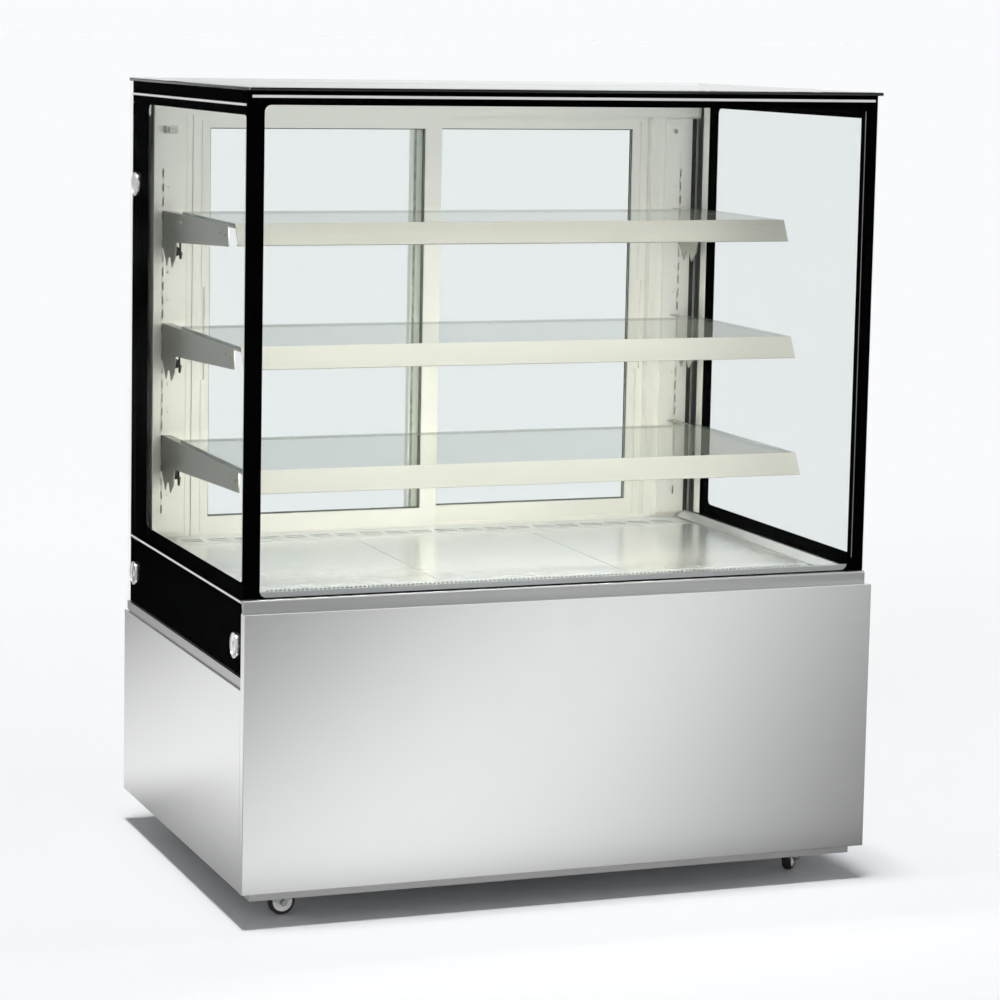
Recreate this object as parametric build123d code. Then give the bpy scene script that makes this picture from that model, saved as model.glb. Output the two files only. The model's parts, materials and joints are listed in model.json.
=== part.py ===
from build123d import *
from math import cos, radians, sin
import os

# Refrigerated glass display case for cakes, in millimetres.
# The origin is at the centre of its footprint on the floor: +X right, +Y back, +Z up.

# Overall size
case_width = 1200.0
case_depth = 800.0
case_height = 1450.0

# Heights above the floor
skirt_bottom = 45.0
panel_bottom = 62.0
chassis_bottom = 65.0
side_panel_top = 418.0
front_panel_top = 553.0
tub_bottom = 395.0
tub_top = 560.0
side_glass_bottom = 437.0
front_glass_bottom = 574.0

# Sheet metal
sheet = 1.2
front_panel_depth = 20.0
side_panel_depth = 17.6
panel_lip = 14.0
edge_break = 0.7
upper_panel_gap = 1.0
upper_panel_drop = 2.0
face_gap = 0.3

# Chassis
chassis_rail_width = 40.0
chassis_rail_height = 38.0
chassis_wall = 2.0
chassis_inset_side = 26.0
chassis_inset_front = 26.0
chassis_inset_back = 22.0
post_size = 25.0
cross_rail_x = 150.0
castor_pad = 4.0
castor_pad_margin = 5.0
tray_sheet = 2.0
skirt_inset_side = 20.0
skirt_inset_front = 20.0
skirt_height = 26.0
skirt_sheet = 2.0

# Insulated well below the deck
tub_inset_side = 18.0
tub_inset_front = 28.0
tub_inset_back = 4.0
tub_wall = 40.0
tub_back_wall = 50.0
tub_floor = 40.0
drain_pipe_diameter = 22.0
drain_pipe_wall = 2.0
drain_setback = 60.0
suction_hole_diameter = 30.0
suction_hole_offset = 50.0
recess_gap = 2.0

# Glass
pane = 6.0
inner_pane = 4.0
top_pane = 6.0
spacer_depth = 9.5
spacer_width = 11.0
enamel = 0.5
side_glass_inset = 4.0
front_glass_inset = 24.0
side_glass_back_inset = 6.0
top_overhang_side = 3.0
top_inset_front = 11.0
top_inset_back = 4.0
top_border = 30.0
front_window_side = 32.0
front_window_top = 24.0
front_window_bottom = 2.0
side_window_front = 18.0
side_window_back = 114.0
side_window_bottom_z = 600.0
side_window_top_drop = 42.0
window_corner = 12.0

# Round fixing caps on the side glass
cap_diameter = 45.0
cap_edge = 1.2
stud_diameter = 10.0
stud_clearance = 0.5
cap_places = ((345.0, 1249.0), (340.0, 500.0), (-335.0, 489.0))

# Ledge trims
ledge_leg = 8.0
ledge_low = 540.0
ledge_corner = 4.0
side_ledge_groove = 3.0

# Rear door frame
rail_back_inset = 1.5
jamb_setback = 6.0
rail_depth = 46.5
header_height = 63.5
header_wall = 2.5
header_rib = 2.0
header_lip_drop = 22.0
door_clearance = 1.0
door_lift = 8.0
door_opening_half = 481.5
jamb_wall = 2.0
jamb_groove = (14.0, 11.0)
jamb_groove_depth = 1.2
door_foot_gap = 1.5
track_plate = 2.5
track_rib_width = 3.0
track_rib_height = 8.0

# Sliding doors
door_overlap = 54.0
door_side_gap = 0.5
stile_width = 34.0
door_rail_height = 38.0
groove_clearance = 1.0
door_glass = 6.0
pull_height = 180.0
pull_width = 16.0
pull_depth = 5.0
pull_z = 960.0
glide_length = 30.0
glide_gap = 0.3
glide_margin = 10.0
groove_top_gap = 2.0
door_glass_bite = 8.0
stile_line = 2.0
stile_line_ends = (6.0, 24.0)

# Slotted shelf uprights
upright_width = 58.0
upright_flange = 7.5
upright_sheet = 1.5
slot_column = 542.0
slot_width = 4.0
slot_height = 16.0
slot_pitch = 27.0
slot_first_z = 621.0
slot_count = 25
pin_hole_column = 532.0
pin_hole_diameter = 4.0
lead_hole_diameter = 10.0
lead_hole_drop = 26.0
lead_hole_offset = 8.0
slot_offset = 5.0
upright_bottom_z = 575.0
upright_top_z = 1379.0

# Shelves, top one first: the slot its bracket hooks in, and where its front edge lies
shelf_slots = (21, 13, 5)
shelf_fronts = (-121.0, -164.0, -199.0)
shelf_glass = 6.0
shelf_back_y = 228.0
shelf_half_width = 538.0
bracket_sheet = 2.0
bracket_flange = 17.0
hook_drop = 10.0
hook_height = 9.0
hook_depth = 4.5
hook_fall = 6.0
hook_thickness = 1.6
arm_height_back = 55.0
arm_height_front = 38.0
arm_back_y = 256.0
arm_front_gap = 36.0
arm_front_slope = 4.0
flange_end_gap = 4.0
cheek_depth = 104.0
cheek_notch = 86.0
cheek_steps = (8.0, 30.0, 40.0, 54.0, 66.0)
cheek_end = (70.0, 62.0)
cheek_back_step = 2.0
hook_levels = (0, 2)
screw_places = ((22.0, 17.0), (50.0, 15.0))
back_screw = (30.0, 16.0)
screw_diameter = 7.0
screw_head = 1.6
rail_sheet = 1.5
rail_half_width = 539.7
rail_flange = 42.0
rail_height = 38.0
rail_lean = 20.0
rail_return = 9.0
rail_nose = 2.0
rail_clear = 3.0
glass_edge_break = 0.6
led_size = (14.0, 8.0)
led_margin = 12.0
led_front_gap = 1.0
top_led_size = (22.0, 16.0)
lead_diameter = 4.0
lead_bend = 14.0
socket_diameter = 14.0
socket_length = 22.0
socket_nose = (9.0, 8.0)
socket_drop = 78.0
socket_offset = 24.0
lead_straight = 20.0
lead_sag = 10.0
lead_clip = 8.0
lead_clip_length = 10.0
lead_clip_drop = (44.0, 34.0)

# Deck, grilles and air
deck_front_y = -234.0
deck_back_y = 248.0
deck_count = 3
deck_sheet = 1.5
deck_gap = 1.5
deck_top_rise = 6.0
deck_half_width = 546.0
side_trim_width = 26.0
side_trim_height = 18.0
side_trim_top = 6.0
side_trim_toe = 8.0
side_trim_gap = 2.0
grille_gap = 0.5
grille_margin = 20.0
grille_slot_pitch = 8.25
grille_slot_width = 4.2
grille_slots_y = (-306.0, -250.0)
grille_slant = 12.0
back_grille_front_y = 250.0
back_grille_slot = 40.0
back_grille_pitch = 52.0
back_grille_rows = (30.0, 50.0)
back_grille_height = 8.0

# Evaporator
coil_width = 620.0
coil_depth = 150.0
coil_height = 84.0
coil_back_y = 300.0
fin_sheet = 1.0
fin_count = 31
tube_diameter = 10.0
coil_lift = 6.0
coil_tube_rows = 4
coil_tube_levels = 2
coil_tube_overhang = 12.0
coil_header = 10.0
coil_header_margin = 6.0
coil_foot = 3.0
evap_fan_diameter = 96.0
evap_fan_x = 170.0
evap_fan_hub = 36.0
evap_fan_depth = 18.0
evap_panel_y = 60.0
evap_panel_sheet = 1.5
evap_panel_gap = 2.0
evap_panel_margin = 20.0
evap_fan_lift = 4.0
evap_motor_diameter = 52.0
evap_motor_length = 38.0
evap_motor_setback = 30.0
evap_shaft = 16.0

# Condensing unit
compressor_x = -60.0
compressor_y = 120.0
compressor_width = 190.0
compressor_depth = 150.0
compressor_height = 200.0
compressor_foot = (22.0, 14.0)
compressor_base = 4.0
compressor_base_margin = (20.0, 5.0)
compressor_foot_offset = (6.0, 14.0)
terminal_box = (26.0, 60.0, 60.0)
terminal_box_lift = 70.0
terminal_box_bite = 8.0
stub_size = (14.0, 12.0)
stub_offset = 40.0
condenser_x = 300.0
condenser_width = 300.0
condenser_height = 230.0
condenser_thickness = 44.0
condenser_back_y = 366.0
condenser_bottom_z = 118.0
condenser_fin_count = 36
condenser_tube_levels = 6
condenser_tube_overhang = 8.0
condenser_header = 8.0
condenser_header_margin = (4.0, 8.0)
condenser_foot = 3.0
discharge_pipe = 8.0
suction_pipe = 10.0
liquid_pipe = 6.0
capillary_pipe = 4.0
pipe_bend = 12.0
capillary_bend = 5.0
pipe_rise = 30.0
header_ports = (30.0, 24.0)
discharge_offset = 40.0
drier_size = (24.0, 90.0)
drier_offset = (60.0, 150.0)
drier_lead = 30.0
capillary_place = (8.0, 2.0, 12.0, 24.0)
suction_place = 6.0
tray_half_width = 90.0
tray_front = 190.0
tray_back = 20.0
tray_height = 45.0
tray_wall = 2.0
drain_dip = 20.0
control_box_x = (-520.0, -360.0)
control_box_y = (120.0, 300.0)
control_box_height = 150.0
contactor = (-500.0, -455.0, 160.0, 230.0, 80.0)
transformer = (-430.0, -375.0, 150.0, 220.0, 60.0)
cond_fan_diameter = 200.0
cond_fan_hub = 60.0
cond_fan_depth = 30.0
shroud_depth = 40.0
motor_diameter = 80.0
motor_length = 60.0
motor_shaft = 8.0
cond_shaft = 24.0
motor_boss = 4.0
hub_gap = 3.0
fan_blades = 5
fan_pitch = 38.0
motor_setback = 12.0
fan_arm = (4.0, 6.0)
arm_margin = (2.0, 3.0)
shaft_clearance = 0.05
fan_tip_clearance = 6.0
blade_sheet = 1.6
blade_root = 0.175
blade_chord = 1.5
motor_space = (5.0, 6.0)

# Controls on the back
louvre_count = 9
louvre_pitch = 24.0
louvre_length = 150.0
louvre_height = 7.0
louvre_gap = 20.0
louvre_hood_depth = 5.0
left_louvre_x = -330.0
louvre_columns = (2, 1)
controller_x = -380.0
controller_z = 492.0
controller_size = (78.0, 36.0)
controller_depth = 40.0
key_column = 26.0
key_pitch = 12.0
key_size = 9.0
key_clearance = 0.3
key_well = 3.4
key_travel = 0.8
key_rest_gap = 0.3
key_stem = 3.0
key_stem_length = 4.0
key_stem_reach = 3.0
key_inset = 0.2
key_break = 0.4
display_depth = 1.0
display_margin = 8.0
display_window = (10.0, 46.0)
switch_x = (-300.0, -262.0)
switch_z = 492.0
switch_size = (24.0, 34.0)
switch_wall = 1.6
switch_depth = 24.0
rocker_radius = 12.8
rocker_inset = 5.6
rocker_gap = 0.6
rocker_angle = 8.0
rocker_reach = 5.0
rocker_proud = 1.2
rocker_pin_diameter = 3.0
rocker_pin_clearance = 0.1
inlet_x = -480.0
inlet_z = 130.0
inlet_diameter = 24.0
inlet_bore = 10.0
inlet_hole_margin = 3.0
inlet_flange_margin = 2.0
inlet_depth = 24.0
inlet_nose = 14.0
inlet_fit = 0.2

# Castors
castor_x = 485.0
castor_y = 320.0
castor_plate = (64.0, 64.0)
castor_plate_sheet = 3.0
castor_plate_corner = 6.0
bolt_inset = 9.0
bolt_head = 4.0
wheel_diameter = 50.0
wheel_width = 18.0
tyre = 5.0
hub_recess = 3.0
hub_margin = 4.0
hub_boss = 14.0
wheel_shoulder = 3.0
castor_trail = 18.0
axle_diameter = 6.0
axle_clearance = 0.08
fork_sheet = 2.5
fork_gap = 1.0
race_height = 4.5
race_diameter = 40.0
race_step = 6.0
race_gap = 0.3
kingpin_diameter = 10.0
kingpin_clearance = 0.1
kingpin_head = (5.0, 2.0)
fork_toe = 14.0
fork_nose = (6.0, 9.0, 9.0)
fork_bridge = (6.0, 4.0)
axle_nut = (4.0, 2.5)
axle_end = 3.0
bolt_diameter = 8.0
bolt_head_margin = 4.0
pedal_sheet = 2.0
pedal_reach = 38.0
pedal_plate = 10.0
pedal_rest_angle = 24.0
pedal_gap = 0.4
pedal_eye = 13.0
pedal_arm = 4.0
pedal_thickness = 2.0
castor_turn = (180.0, 50.0, 215.0, 320.0)

# Worked out from the sizes above
half_width = case_width / 2
front_y = -case_depth / 2
back_y = case_depth / 2
tub_half = half_width - tub_inset_side
tub_front_y = front_y + tub_inset_front
tub_back_y = back_y - tub_inset_back
glass_top = case_height - top_pane
pane_top = glass_top - enamel
side_glass_x = half_width - side_glass_inset
side_pane_in = side_glass_x - pane
enamel_in = side_pane_in - enamel
spacer_in = enamel_in - spacer_depth
inner_pane_in = spacer_in - inner_pane
front_glass_y = front_y + front_glass_inset
front_pane_in = front_glass_y + pane
front_enamel_in = front_pane_in + enamel
front_spacer_in = front_enamel_in + spacer_depth
front_inner_in = front_spacer_in + inner_pane
side_glass_back = back_y - side_glass_back_inset
rail_front_y = back_y - rail_back_inset - rail_depth
jamb_front_y = rail_front_y + jamb_setback
header_bottom = pane_top - header_height
upright_front_y = jamb_front_y - upright_flange
door_thickness = (rail_depth - 2 * header_wall - header_rib) / 2 - 2 * door_clearance
door_bottom = tub_top + track_plate + door_foot_gap
door_top = header_bottom + header_lip_drop - door_lift
door_width = door_opening_half - door_side_gap + door_overlap / 2
channel_width = door_thickness + 2 * door_clearance
door_front_y = rail_front_y + header_wall + door_clearance
door_rear_y = door_front_y + door_thickness + header_rib + 2 * door_clearance
deck_top = tub_top + deck_top_rise
wheel_radius = wheel_diameter / 2
tub_floor_top = tub_bottom + tub_floor
tray_top = chassis_bottom + chassis_rail_height + tray_sheet
evap_fan_z = tub_floor_top + coil_lift + evap_fan_diameter / 2 + evap_fan_lift
evap_motor_y = evap_panel_y - evap_motor_setback
cond_fan_z = condenser_bottom_z + condenser_height / 2
cond_shroud_y = condenser_back_y - condenser_thickness - shroud_depth
cond_motor_y = cond_shroud_y - motor_setback
drain_y = evap_panel_y - drain_setback
suction_x = coil_width / 2 + suction_hole_offset
suction_y = coil_back_y - coil_depth / 2


def block(x0, x1, y0, y1, z0, z1):
    """A box between two corners."""
    low = (min(x0, x1), min(y0, y1), min(z0, z1))
    size = (abs(x1 - x0), abs(y1 - y0), abs(z1 - z0))
    return Pos(*low) * Box(*size, align=(Align.MIN, Align.MIN, Align.MIN))


def rod(start, end, diameter):
    """A round bar from one point to another."""
    path = Vector(*end) - Vector(*start)
    turned = Plane(origin=start, z_dir=path)
    return turned * Cylinder(diameter / 2, path.length, align=(Align.CENTER, Align.CENTER, Align.MIN))


def disc(centre, axis, diameter, thickness):
    """A round plate that starts at the centre point and grows along the axis."""
    turned = Plane(origin=centre, z_dir=axis)
    return turned * Cylinder(diameter / 2, thickness, align=(Align.CENTER, Align.CENTER, Align.MIN))


def prism_x(points, x0, x1):
    """A solid with a straight-sided outline of (y, z) points, from x0 to x1."""
    outline = [Vector(x0, y, z) for y, z in points]
    face = make_face(Polyline(*outline, close=True))
    return extrude(face, amount=abs(x1 - x0), dir=(1 if x1 > x0 else -1, 0, 0))


def prism_z(points, z0, z1):
    """A solid with a straight-sided outline of (x, y) points, from z0 to z1."""
    outline = [Vector(x, y, z0) for x, y in points]
    face = make_face(Polyline(*outline, close=True))
    return extrude(face, amount=abs(z1 - z0), dir=(0, 0, 1 if z1 > z0 else -1))


def prism_y(points, y0, y1):
    """A solid with a straight-sided outline of (x, z) points, from y0 to y1."""
    outline = [Vector(x, y0, z) for x, z in points]
    face = make_face(Polyline(*outline, close=True))
    return extrude(face, amount=abs(y1 - y0), dir=(0, 1 if y1 > y0 else -1, 0))


def mirrored(shape):
    """The same piece on the other side of the case."""
    return mirror(shape, about=Plane.YZ)


def both(shape):
    """A piece and its mirror image, as separate solids."""
    return [shape, mirrored(shape)]


def group(shapes):
    """Separate solids that share one node."""
    solids = []
    for shape in shapes:
        solids += shape.solids()
    return Compound(children=solids)


def plane_face(shape, axis, value):
    """Edges of a shape that lie in one plane across an axis."""
    return shape.edges().filter_by_position(axis, value - 0.01, value + 0.01)


# Panels of the base


def pan(x0, x1, y0, y1, z0, z1, open_side, lip):
    """A folded sheet-metal panel: a face, four edges and a lip that turns in along them."""
    body = block(x0, x1, y0, y1, z0, z1)
    low = [x0, y0, z0]
    high = [x1, y1, z1]
    axis, end = open_side
    inner_low = [v + sheet for v in low]
    inner_high = [v - sheet for v in high]
    mouth_low = [v + lip for v in low]
    mouth_high = [v - lip for v in high]
    mouth_low[axis] = inner_low[axis]
    mouth_high[axis] = inner_high[axis]
    if end > 0:
        mouth_high[axis] = high[axis]
    else:
        mouth_low[axis] = low[axis]
    hollow = block(inner_low[0], inner_high[0], inner_low[1], inner_high[1], inner_low[2], inner_high[2])
    mouth = block(mouth_low[0], mouth_high[0], mouth_low[1], mouth_high[1], mouth_low[2], mouth_high[2])
    return body - hollow - mouth


def make_front_panel():
    back = front_y + front_panel_depth
    panel = pan(-half_width, half_width, front_y, back, panel_bottom, front_panel_top, (1, 1), panel_lip)
    front_edges = plane_face(panel, Axis.Y, front_y)
    return chamfer(front_edges, edge_break)


def make_side_panel():
    inner = half_width - side_panel_depth
    start = front_y + front_panel_depth + face_gap
    panel = pan(-half_width, -inner, start, back_y, panel_bottom, side_panel_top, (0, 1), panel_lip)
    outer_edges = plane_face(panel, Axis.X, -half_width)
    return chamfer(outer_edges, edge_break)


def louvre_field(centre_x, bottom_z, columns):
    """Slots of the louvres, as cutters."""
    cutters = []
    pitch = louvre_length + louvre_gap
    for column in range(columns):
        x = centre_x + (column - (columns - 1) / 2) * pitch
        for row in range(louvre_count):
            z = bottom_z + row * louvre_pitch
            cutters.append(block(x - louvre_length / 2, x + louvre_length / 2, back_y - 20, back_y + 1,
                                 z, z + louvre_height))
    return cutters


def louvre_hoods(centre_x, bottom_z, columns):
    """Pressed hoods over the slots, open downwards, inside the panel's thickness."""
    hoods = []
    pitch = louvre_length + louvre_gap
    for column in range(columns):
        x = centre_x + (column - (columns - 1) / 2) * pitch
        for row in range(louvre_count):
            z = bottom_z + row * louvre_pitch
            outline = [(back_y - sheet, z + louvre_height), (back_y, z + louvre_height),
                       (back_y - louvre_hood_depth, z), (back_y - louvre_hood_depth - sheet, z)]
            hoods.append(prism_x(outline, x - louvre_length / 2, x + louvre_length / 2))
    return hoods


def make_rear_panels():
    inner = half_width - side_panel_depth
    edge = inner - face_gap
    lower = pan(-edge, edge, back_y - tub_inset_back, back_y, panel_bottom, side_panel_top, (1, -1), panel_lip)
    fields = ((condenser_x, condenser_bottom_z, louvre_columns[0]),
              (left_louvre_x, condenser_bottom_z, louvre_columns[1]))
    for field in fields:
        for cutter in louvre_field(*field):
            lower -= cutter
    for field in fields:
        for hood in louvre_hoods(*field):
            lower += hood
    lower -= disc((inlet_x, back_y - 20, inlet_z), (0, 1, 0), inlet_diameter - 2 * inlet_hole_margin, 30)
    upper_edge = enamel_in - upper_panel_gap
    upper_low = side_panel_top + upper_panel_gap
    upper_top = tub_top - upper_panel_drop
    upper = block(-upper_edge, upper_edge, back_y - tub_inset_back, back_y, upper_low, upper_top)
    upper -= block(-upper_edge + sheet, upper_edge - sheet, back_y - tub_inset_back, back_y - sheet,
                   upper_low + sheet, upper_top - sheet)
    width, height = controller_size
    upper -= block(controller_x - width / 2, controller_x + width / 2, back_y - 10, back_y + 1,
                   controller_z - height / 2, controller_z + height / 2)
    for x in switch_x:
        upper -= block(x - switch_size[0] / 2, x + switch_size[0] / 2, back_y - 10, back_y + 1,
                       switch_z - switch_size[1] / 2, switch_z + switch_size[1] / 2)
    return group([lower, upper])


# Chassis and skirt


def square_tube(x0, x1, y0, y1, z0, z1, axis):
    """A hollow chassis bar, open at both of its ends along one axis."""
    low = [x0 + chassis_wall, y0 + chassis_wall, z0 + chassis_wall]
    high = [x1 - chassis_wall, y1 - chassis_wall, z1 - chassis_wall]
    low[axis] = (x0, y0, z0)[axis] - 1
    high[axis] = (x1, y1, z1)[axis] + 1
    return block(x0, x1, y0, y1, z0, z1) - block(low[0], high[0], low[1], high[1], low[2], high[2])


def make_chassis():
    x_out = half_width - chassis_inset_side
    y_front = front_y + chassis_inset_front
    y_back = back_y - chassis_inset_back
    z0 = chassis_bottom
    z1 = z0 + chassis_rail_height
    w = chassis_rail_width
    sides = both(square_tube(-x_out, -x_out + w, y_front, y_back, z0, z1, 1))
    ends = [square_tube(-x_out + w, x_out - w, y_front, y_front + w, z0, z1, 0),
            square_tube(-x_out + w, x_out - w, y_back - w, y_back, z0, z1, 0)]
    cross = both(square_tube(-cross_rail_x - w / 2, -cross_rail_x + w / 2, y_front + w, y_back - w,
                             z0, z1, 1))
    half_pad = castor_plate[0] / 2 + castor_pad_margin
    pads = []
    for x in (-castor_x, castor_x):
        pads.append(block(x - half_pad, x + half_pad, y_front + w, -castor_y + half_pad, z0, z0 + castor_pad))
        pads.append(block(x - half_pad, x + half_pad, castor_y - half_pad, y_back - w, z0, z0 + castor_pad))
    tray = block(-x_out, x_out, y_front, y_back, z1, z1 + tray_sheet)
    posts = []
    for x in (-x_out, x_out - post_size):
        for y in (y_front, y_back - post_size):
            posts.append(square_tube(x, x + post_size, y, y + post_size, z1 + tray_sheet, tub_bottom, 2))
    return group(sides + ends + cross + pads + [tray] + posts)


def make_skirt():
    x_out = half_width - skirt_inset_side
    y_front = front_y + skirt_inset_front
    y_back = back_y - chassis_inset_back
    top = skirt_bottom + skirt_height
    frame_side = half_width - chassis_inset_side
    frame_front = front_y + chassis_inset_front
    front = block(-x_out, x_out, y_front, y_front + skirt_sheet, skirt_bottom, top)
    front += block(-frame_side, frame_side, y_front, frame_front, top - skirt_sheet, top)
    side = block(-x_out, -x_out + skirt_sheet, y_front + skirt_sheet, y_back, skirt_bottom, top)
    side += block(-x_out, -frame_side, frame_front, y_back, top - skirt_sheet, top)
    return group([front] + both(side))


# Insulated well and what stands in it


def tub_cavity():
    return block(-tub_half + tub_wall, tub_half - tub_wall, tub_front_y + tub_wall,
                 tub_back_y - tub_back_wall, tub_floor_top, tub_top + 1)


def make_tub():
    tub = block(-tub_half, tub_half, tub_front_y, tub_back_y, tub_bottom, tub_top)
    tub -= tub_cavity()
    tub -= disc((0, drain_y, tub_bottom - 1), (0, 0, 1), drain_pipe_diameter, tub_floor + 2)
    tub -= disc((suction_x, suction_y, tub_bottom - 1), (0, 0, 1), suction_hole_diameter, tub_floor + 2)
    width, height = controller_size
    half_x, half_z = width / 2 + recess_gap, height / 2 + recess_gap
    tub -= block(controller_x - half_x, controller_x + half_x,
                 back_y - controller_depth - recess_gap, tub_back_y + 1,
                 controller_z - half_z, controller_z + half_z)
    half_x, half_z = switch_size[0] / 2 + recess_gap, switch_size[1] / 2 + recess_gap
    for x in switch_x:
        tub -= block(x - half_x, x + half_x, back_y - switch_depth - recess_gap, tub_back_y + 1,
                     switch_z - half_z, switch_z + half_z)
    return tub


def make_evaporator():
    bottom = tub_floor_top + coil_lift
    y0 = coil_back_y - coil_depth
    step = (coil_width - fin_sheet) / (fin_count - 1)
    coil = None
    for i in range(fin_count):
        x = -coil_width / 2 + i * step
        fin = block(x, x + fin_sheet, y0, coil_back_y, bottom, bottom + coil_height)
        coil = fin if coil is None else coil + fin
    reach = coil_width / 2 + coil_tube_overhang
    rows = []
    for row in range(coil_tube_rows):
        for level in range(coil_tube_levels):
            y = y0 + coil_depth * (row + 0.5) / coil_tube_rows
            z = bottom + coil_height * (level + 0.5) / coil_tube_levels
            rows.append(rod((-reach, y, z), (reach, y, z), tube_diameter))
    for tube in rows:
        coil += tube
    feet = []
    for x in (-coil_width / 2, coil_width / 2 - coil_foot):
        feet.append(block(x, x + coil_foot, y0, coil_back_y, tub_floor_top, bottom + coil_height))
    for foot in feet:
        coil += foot
    header_low = bottom + coil_height / 4 - coil_header_margin
    header_high = bottom + coil_height * 3 / 4 + coil_header_margin
    header = block(reach, reach + coil_header, y0 + coil_header, coil_back_y - coil_header,
                   header_low, header_high)
    return coil + header + mirrored(header)


def rotor(centre, axis, diameter, hub, depth, shaft_length):
    """A fan wheel on its own shaft. The hub starts at the centre point and grows along the axis."""
    frame = Plane(origin=centre, z_dir=axis)
    body = Cylinder(hub / 2, depth, align=(Align.CENTER, Align.CENTER, Align.MIN))
    ring = Cylinder(diameter / 2, depth, align=(Align.CENTER, Align.CENTER, Align.MIN))
    for i in range(fan_blades):
        length = diameter / 2
        place = Pos(length / 2 + blade_root * hub, 0, depth / 2)
        blade = place * Rot(X=fan_pitch) * Box(length, blade_sheet, depth * blade_chord)
        blade = Rot(Z=360.0 / fan_blades * i) * blade
        body += blade & ring
    body += Pos(0, 0, -shaft_length) * Cylinder(motor_shaft / 2, shaft_length + 1,
                                               align=(Align.CENTER, Align.CENTER, Align.MIN))
    return frame * body


def motor(centre, axis, diameter, length, bore_depth):
    """A fan motor whose bore takes the wheel's shaft, with the open end at the centre point."""
    frame = Plane(origin=centre, z_dir=axis)
    body = Cylinder(diameter / 2, length, align=(Align.CENTER, Align.CENTER, Align.MAX))
    body += Cylinder(diameter / 4, motor_boss, align=(Align.CENTER, Align.CENTER, Align.MIN))
    hole = motor_shaft + 2 * shaft_clearance
    body -= Pos(0, 0, motor_boss) * Cylinder(hole / 2, bore_depth + motor_boss,
                                             align=(Align.CENTER, Align.CENTER, Align.MAX))
    return frame * body


def make_evap_fan(x):
    start = (x, evap_motor_y + motor_boss + hub_gap, evap_fan_z)
    return rotor(start, (0, 1, 0), evap_fan_diameter, evap_fan_hub, evap_fan_depth, evap_shaft)


def make_cond_fan():
    start = (condenser_x, cond_motor_y + motor_boss + hub_gap, cond_fan_z)
    return rotor(start, (0, 1, 0), cond_fan_diameter, cond_fan_hub, cond_fan_depth, cond_shaft)


def make_fan_motors():
    motors = []
    for x in (-evap_fan_x, evap_fan_x):
        motors.append(motor((x, evap_motor_y, evap_fan_z), (0, 1, 0), evap_motor_diameter,
                            evap_motor_length, evap_shaft))
    motors.append(motor((condenser_x, cond_motor_y, cond_fan_z), (0, 1, 0), motor_diameter, motor_length,
                        cond_shaft))
    return group(motors)


def spider(centre, reach, ring_y, motor_y, motor_radius, bar):
    """Four flat arms that carry a motor in front of its fan opening."""
    x, z = centre
    arms = None
    for angle in (45, 135, 225, 315):
        dx = cos(radians(angle))
        dz = sin(radians(angle))
        inner = (x + dx * motor_radius, motor_y, z + dz * motor_radius)
        elbow = (x + dx * reach, motor_y, z + dz * reach)
        foot = (x + dx * reach, ring_y, z + dz * reach)
        arm = rod(inner, elbow, bar) + rod(elbow, foot, bar)
        arm += Pos(*elbow) * Sphere(bar / 2)
        arms = arm if arms is None else arms + arm
    return arms


def make_fan_shrouds():
    floor_z = tub_floor_top
    top_z = tub_top - evap_panel_gap
    half = coil_width / 2 + evap_panel_margin
    panel = block(-half, half, evap_panel_y, evap_panel_y + evap_panel_sheet, floor_z, top_z)
    panel += block(-half, half, evap_panel_y, coil_back_y - coil_depth, top_z - evap_panel_sheet, top_z)
    for x in (-evap_fan_x, evap_fan_x):
        opening = evap_fan_diameter + 2 * fan_tip_clearance
        panel -= disc((x, evap_panel_y - 1, evap_fan_z), (0, 1, 0), opening, 4.0)
        middle_y = evap_motor_y - evap_motor_length / 2
        panel += spider((x, evap_fan_z), opening / 2 + arm_margin[0], evap_panel_y + 1.0, middle_y,
                        evap_motor_diameter / 2, fan_arm[0])
        panel -= disc((x, evap_motor_y + motor_space[0], evap_fan_z), (0, -1, 0), evap_motor_diameter,
                      evap_motor_length + motor_space[1])
    half = condenser_width / 2
    y1 = condenser_back_y - condenser_thickness
    shroud = block(condenser_x - half, condenser_x + half, cond_shroud_y, y1, condenser_bottom_z,
                   condenser_bottom_z + condenser_height)
    shroud -= block(condenser_x - half + sheet, condenser_x + half - sheet, cond_shroud_y + sheet, y1 + 1,
                    condenser_bottom_z + sheet, condenser_bottom_z + condenser_height - sheet)
    opening = cond_fan_diameter + 2 * fan_tip_clearance
    shroud -= disc((condenser_x, cond_shroud_y - 1, cond_fan_z), (0, 1, 0), opening, 4.0)
    middle_y = cond_motor_y - motor_length / 2
    shroud += spider((condenser_x, cond_fan_z), opening / 2 + arm_margin[1], cond_shroud_y + 1.0, middle_y,
                     motor_diameter / 2, fan_arm[1])
    shroud -= disc((condenser_x, cond_motor_y + motor_space[0], cond_fan_z), (0, -1, 0), motor_diameter,
                   motor_length + motor_space[1])
    return group([panel, shroud])


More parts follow.
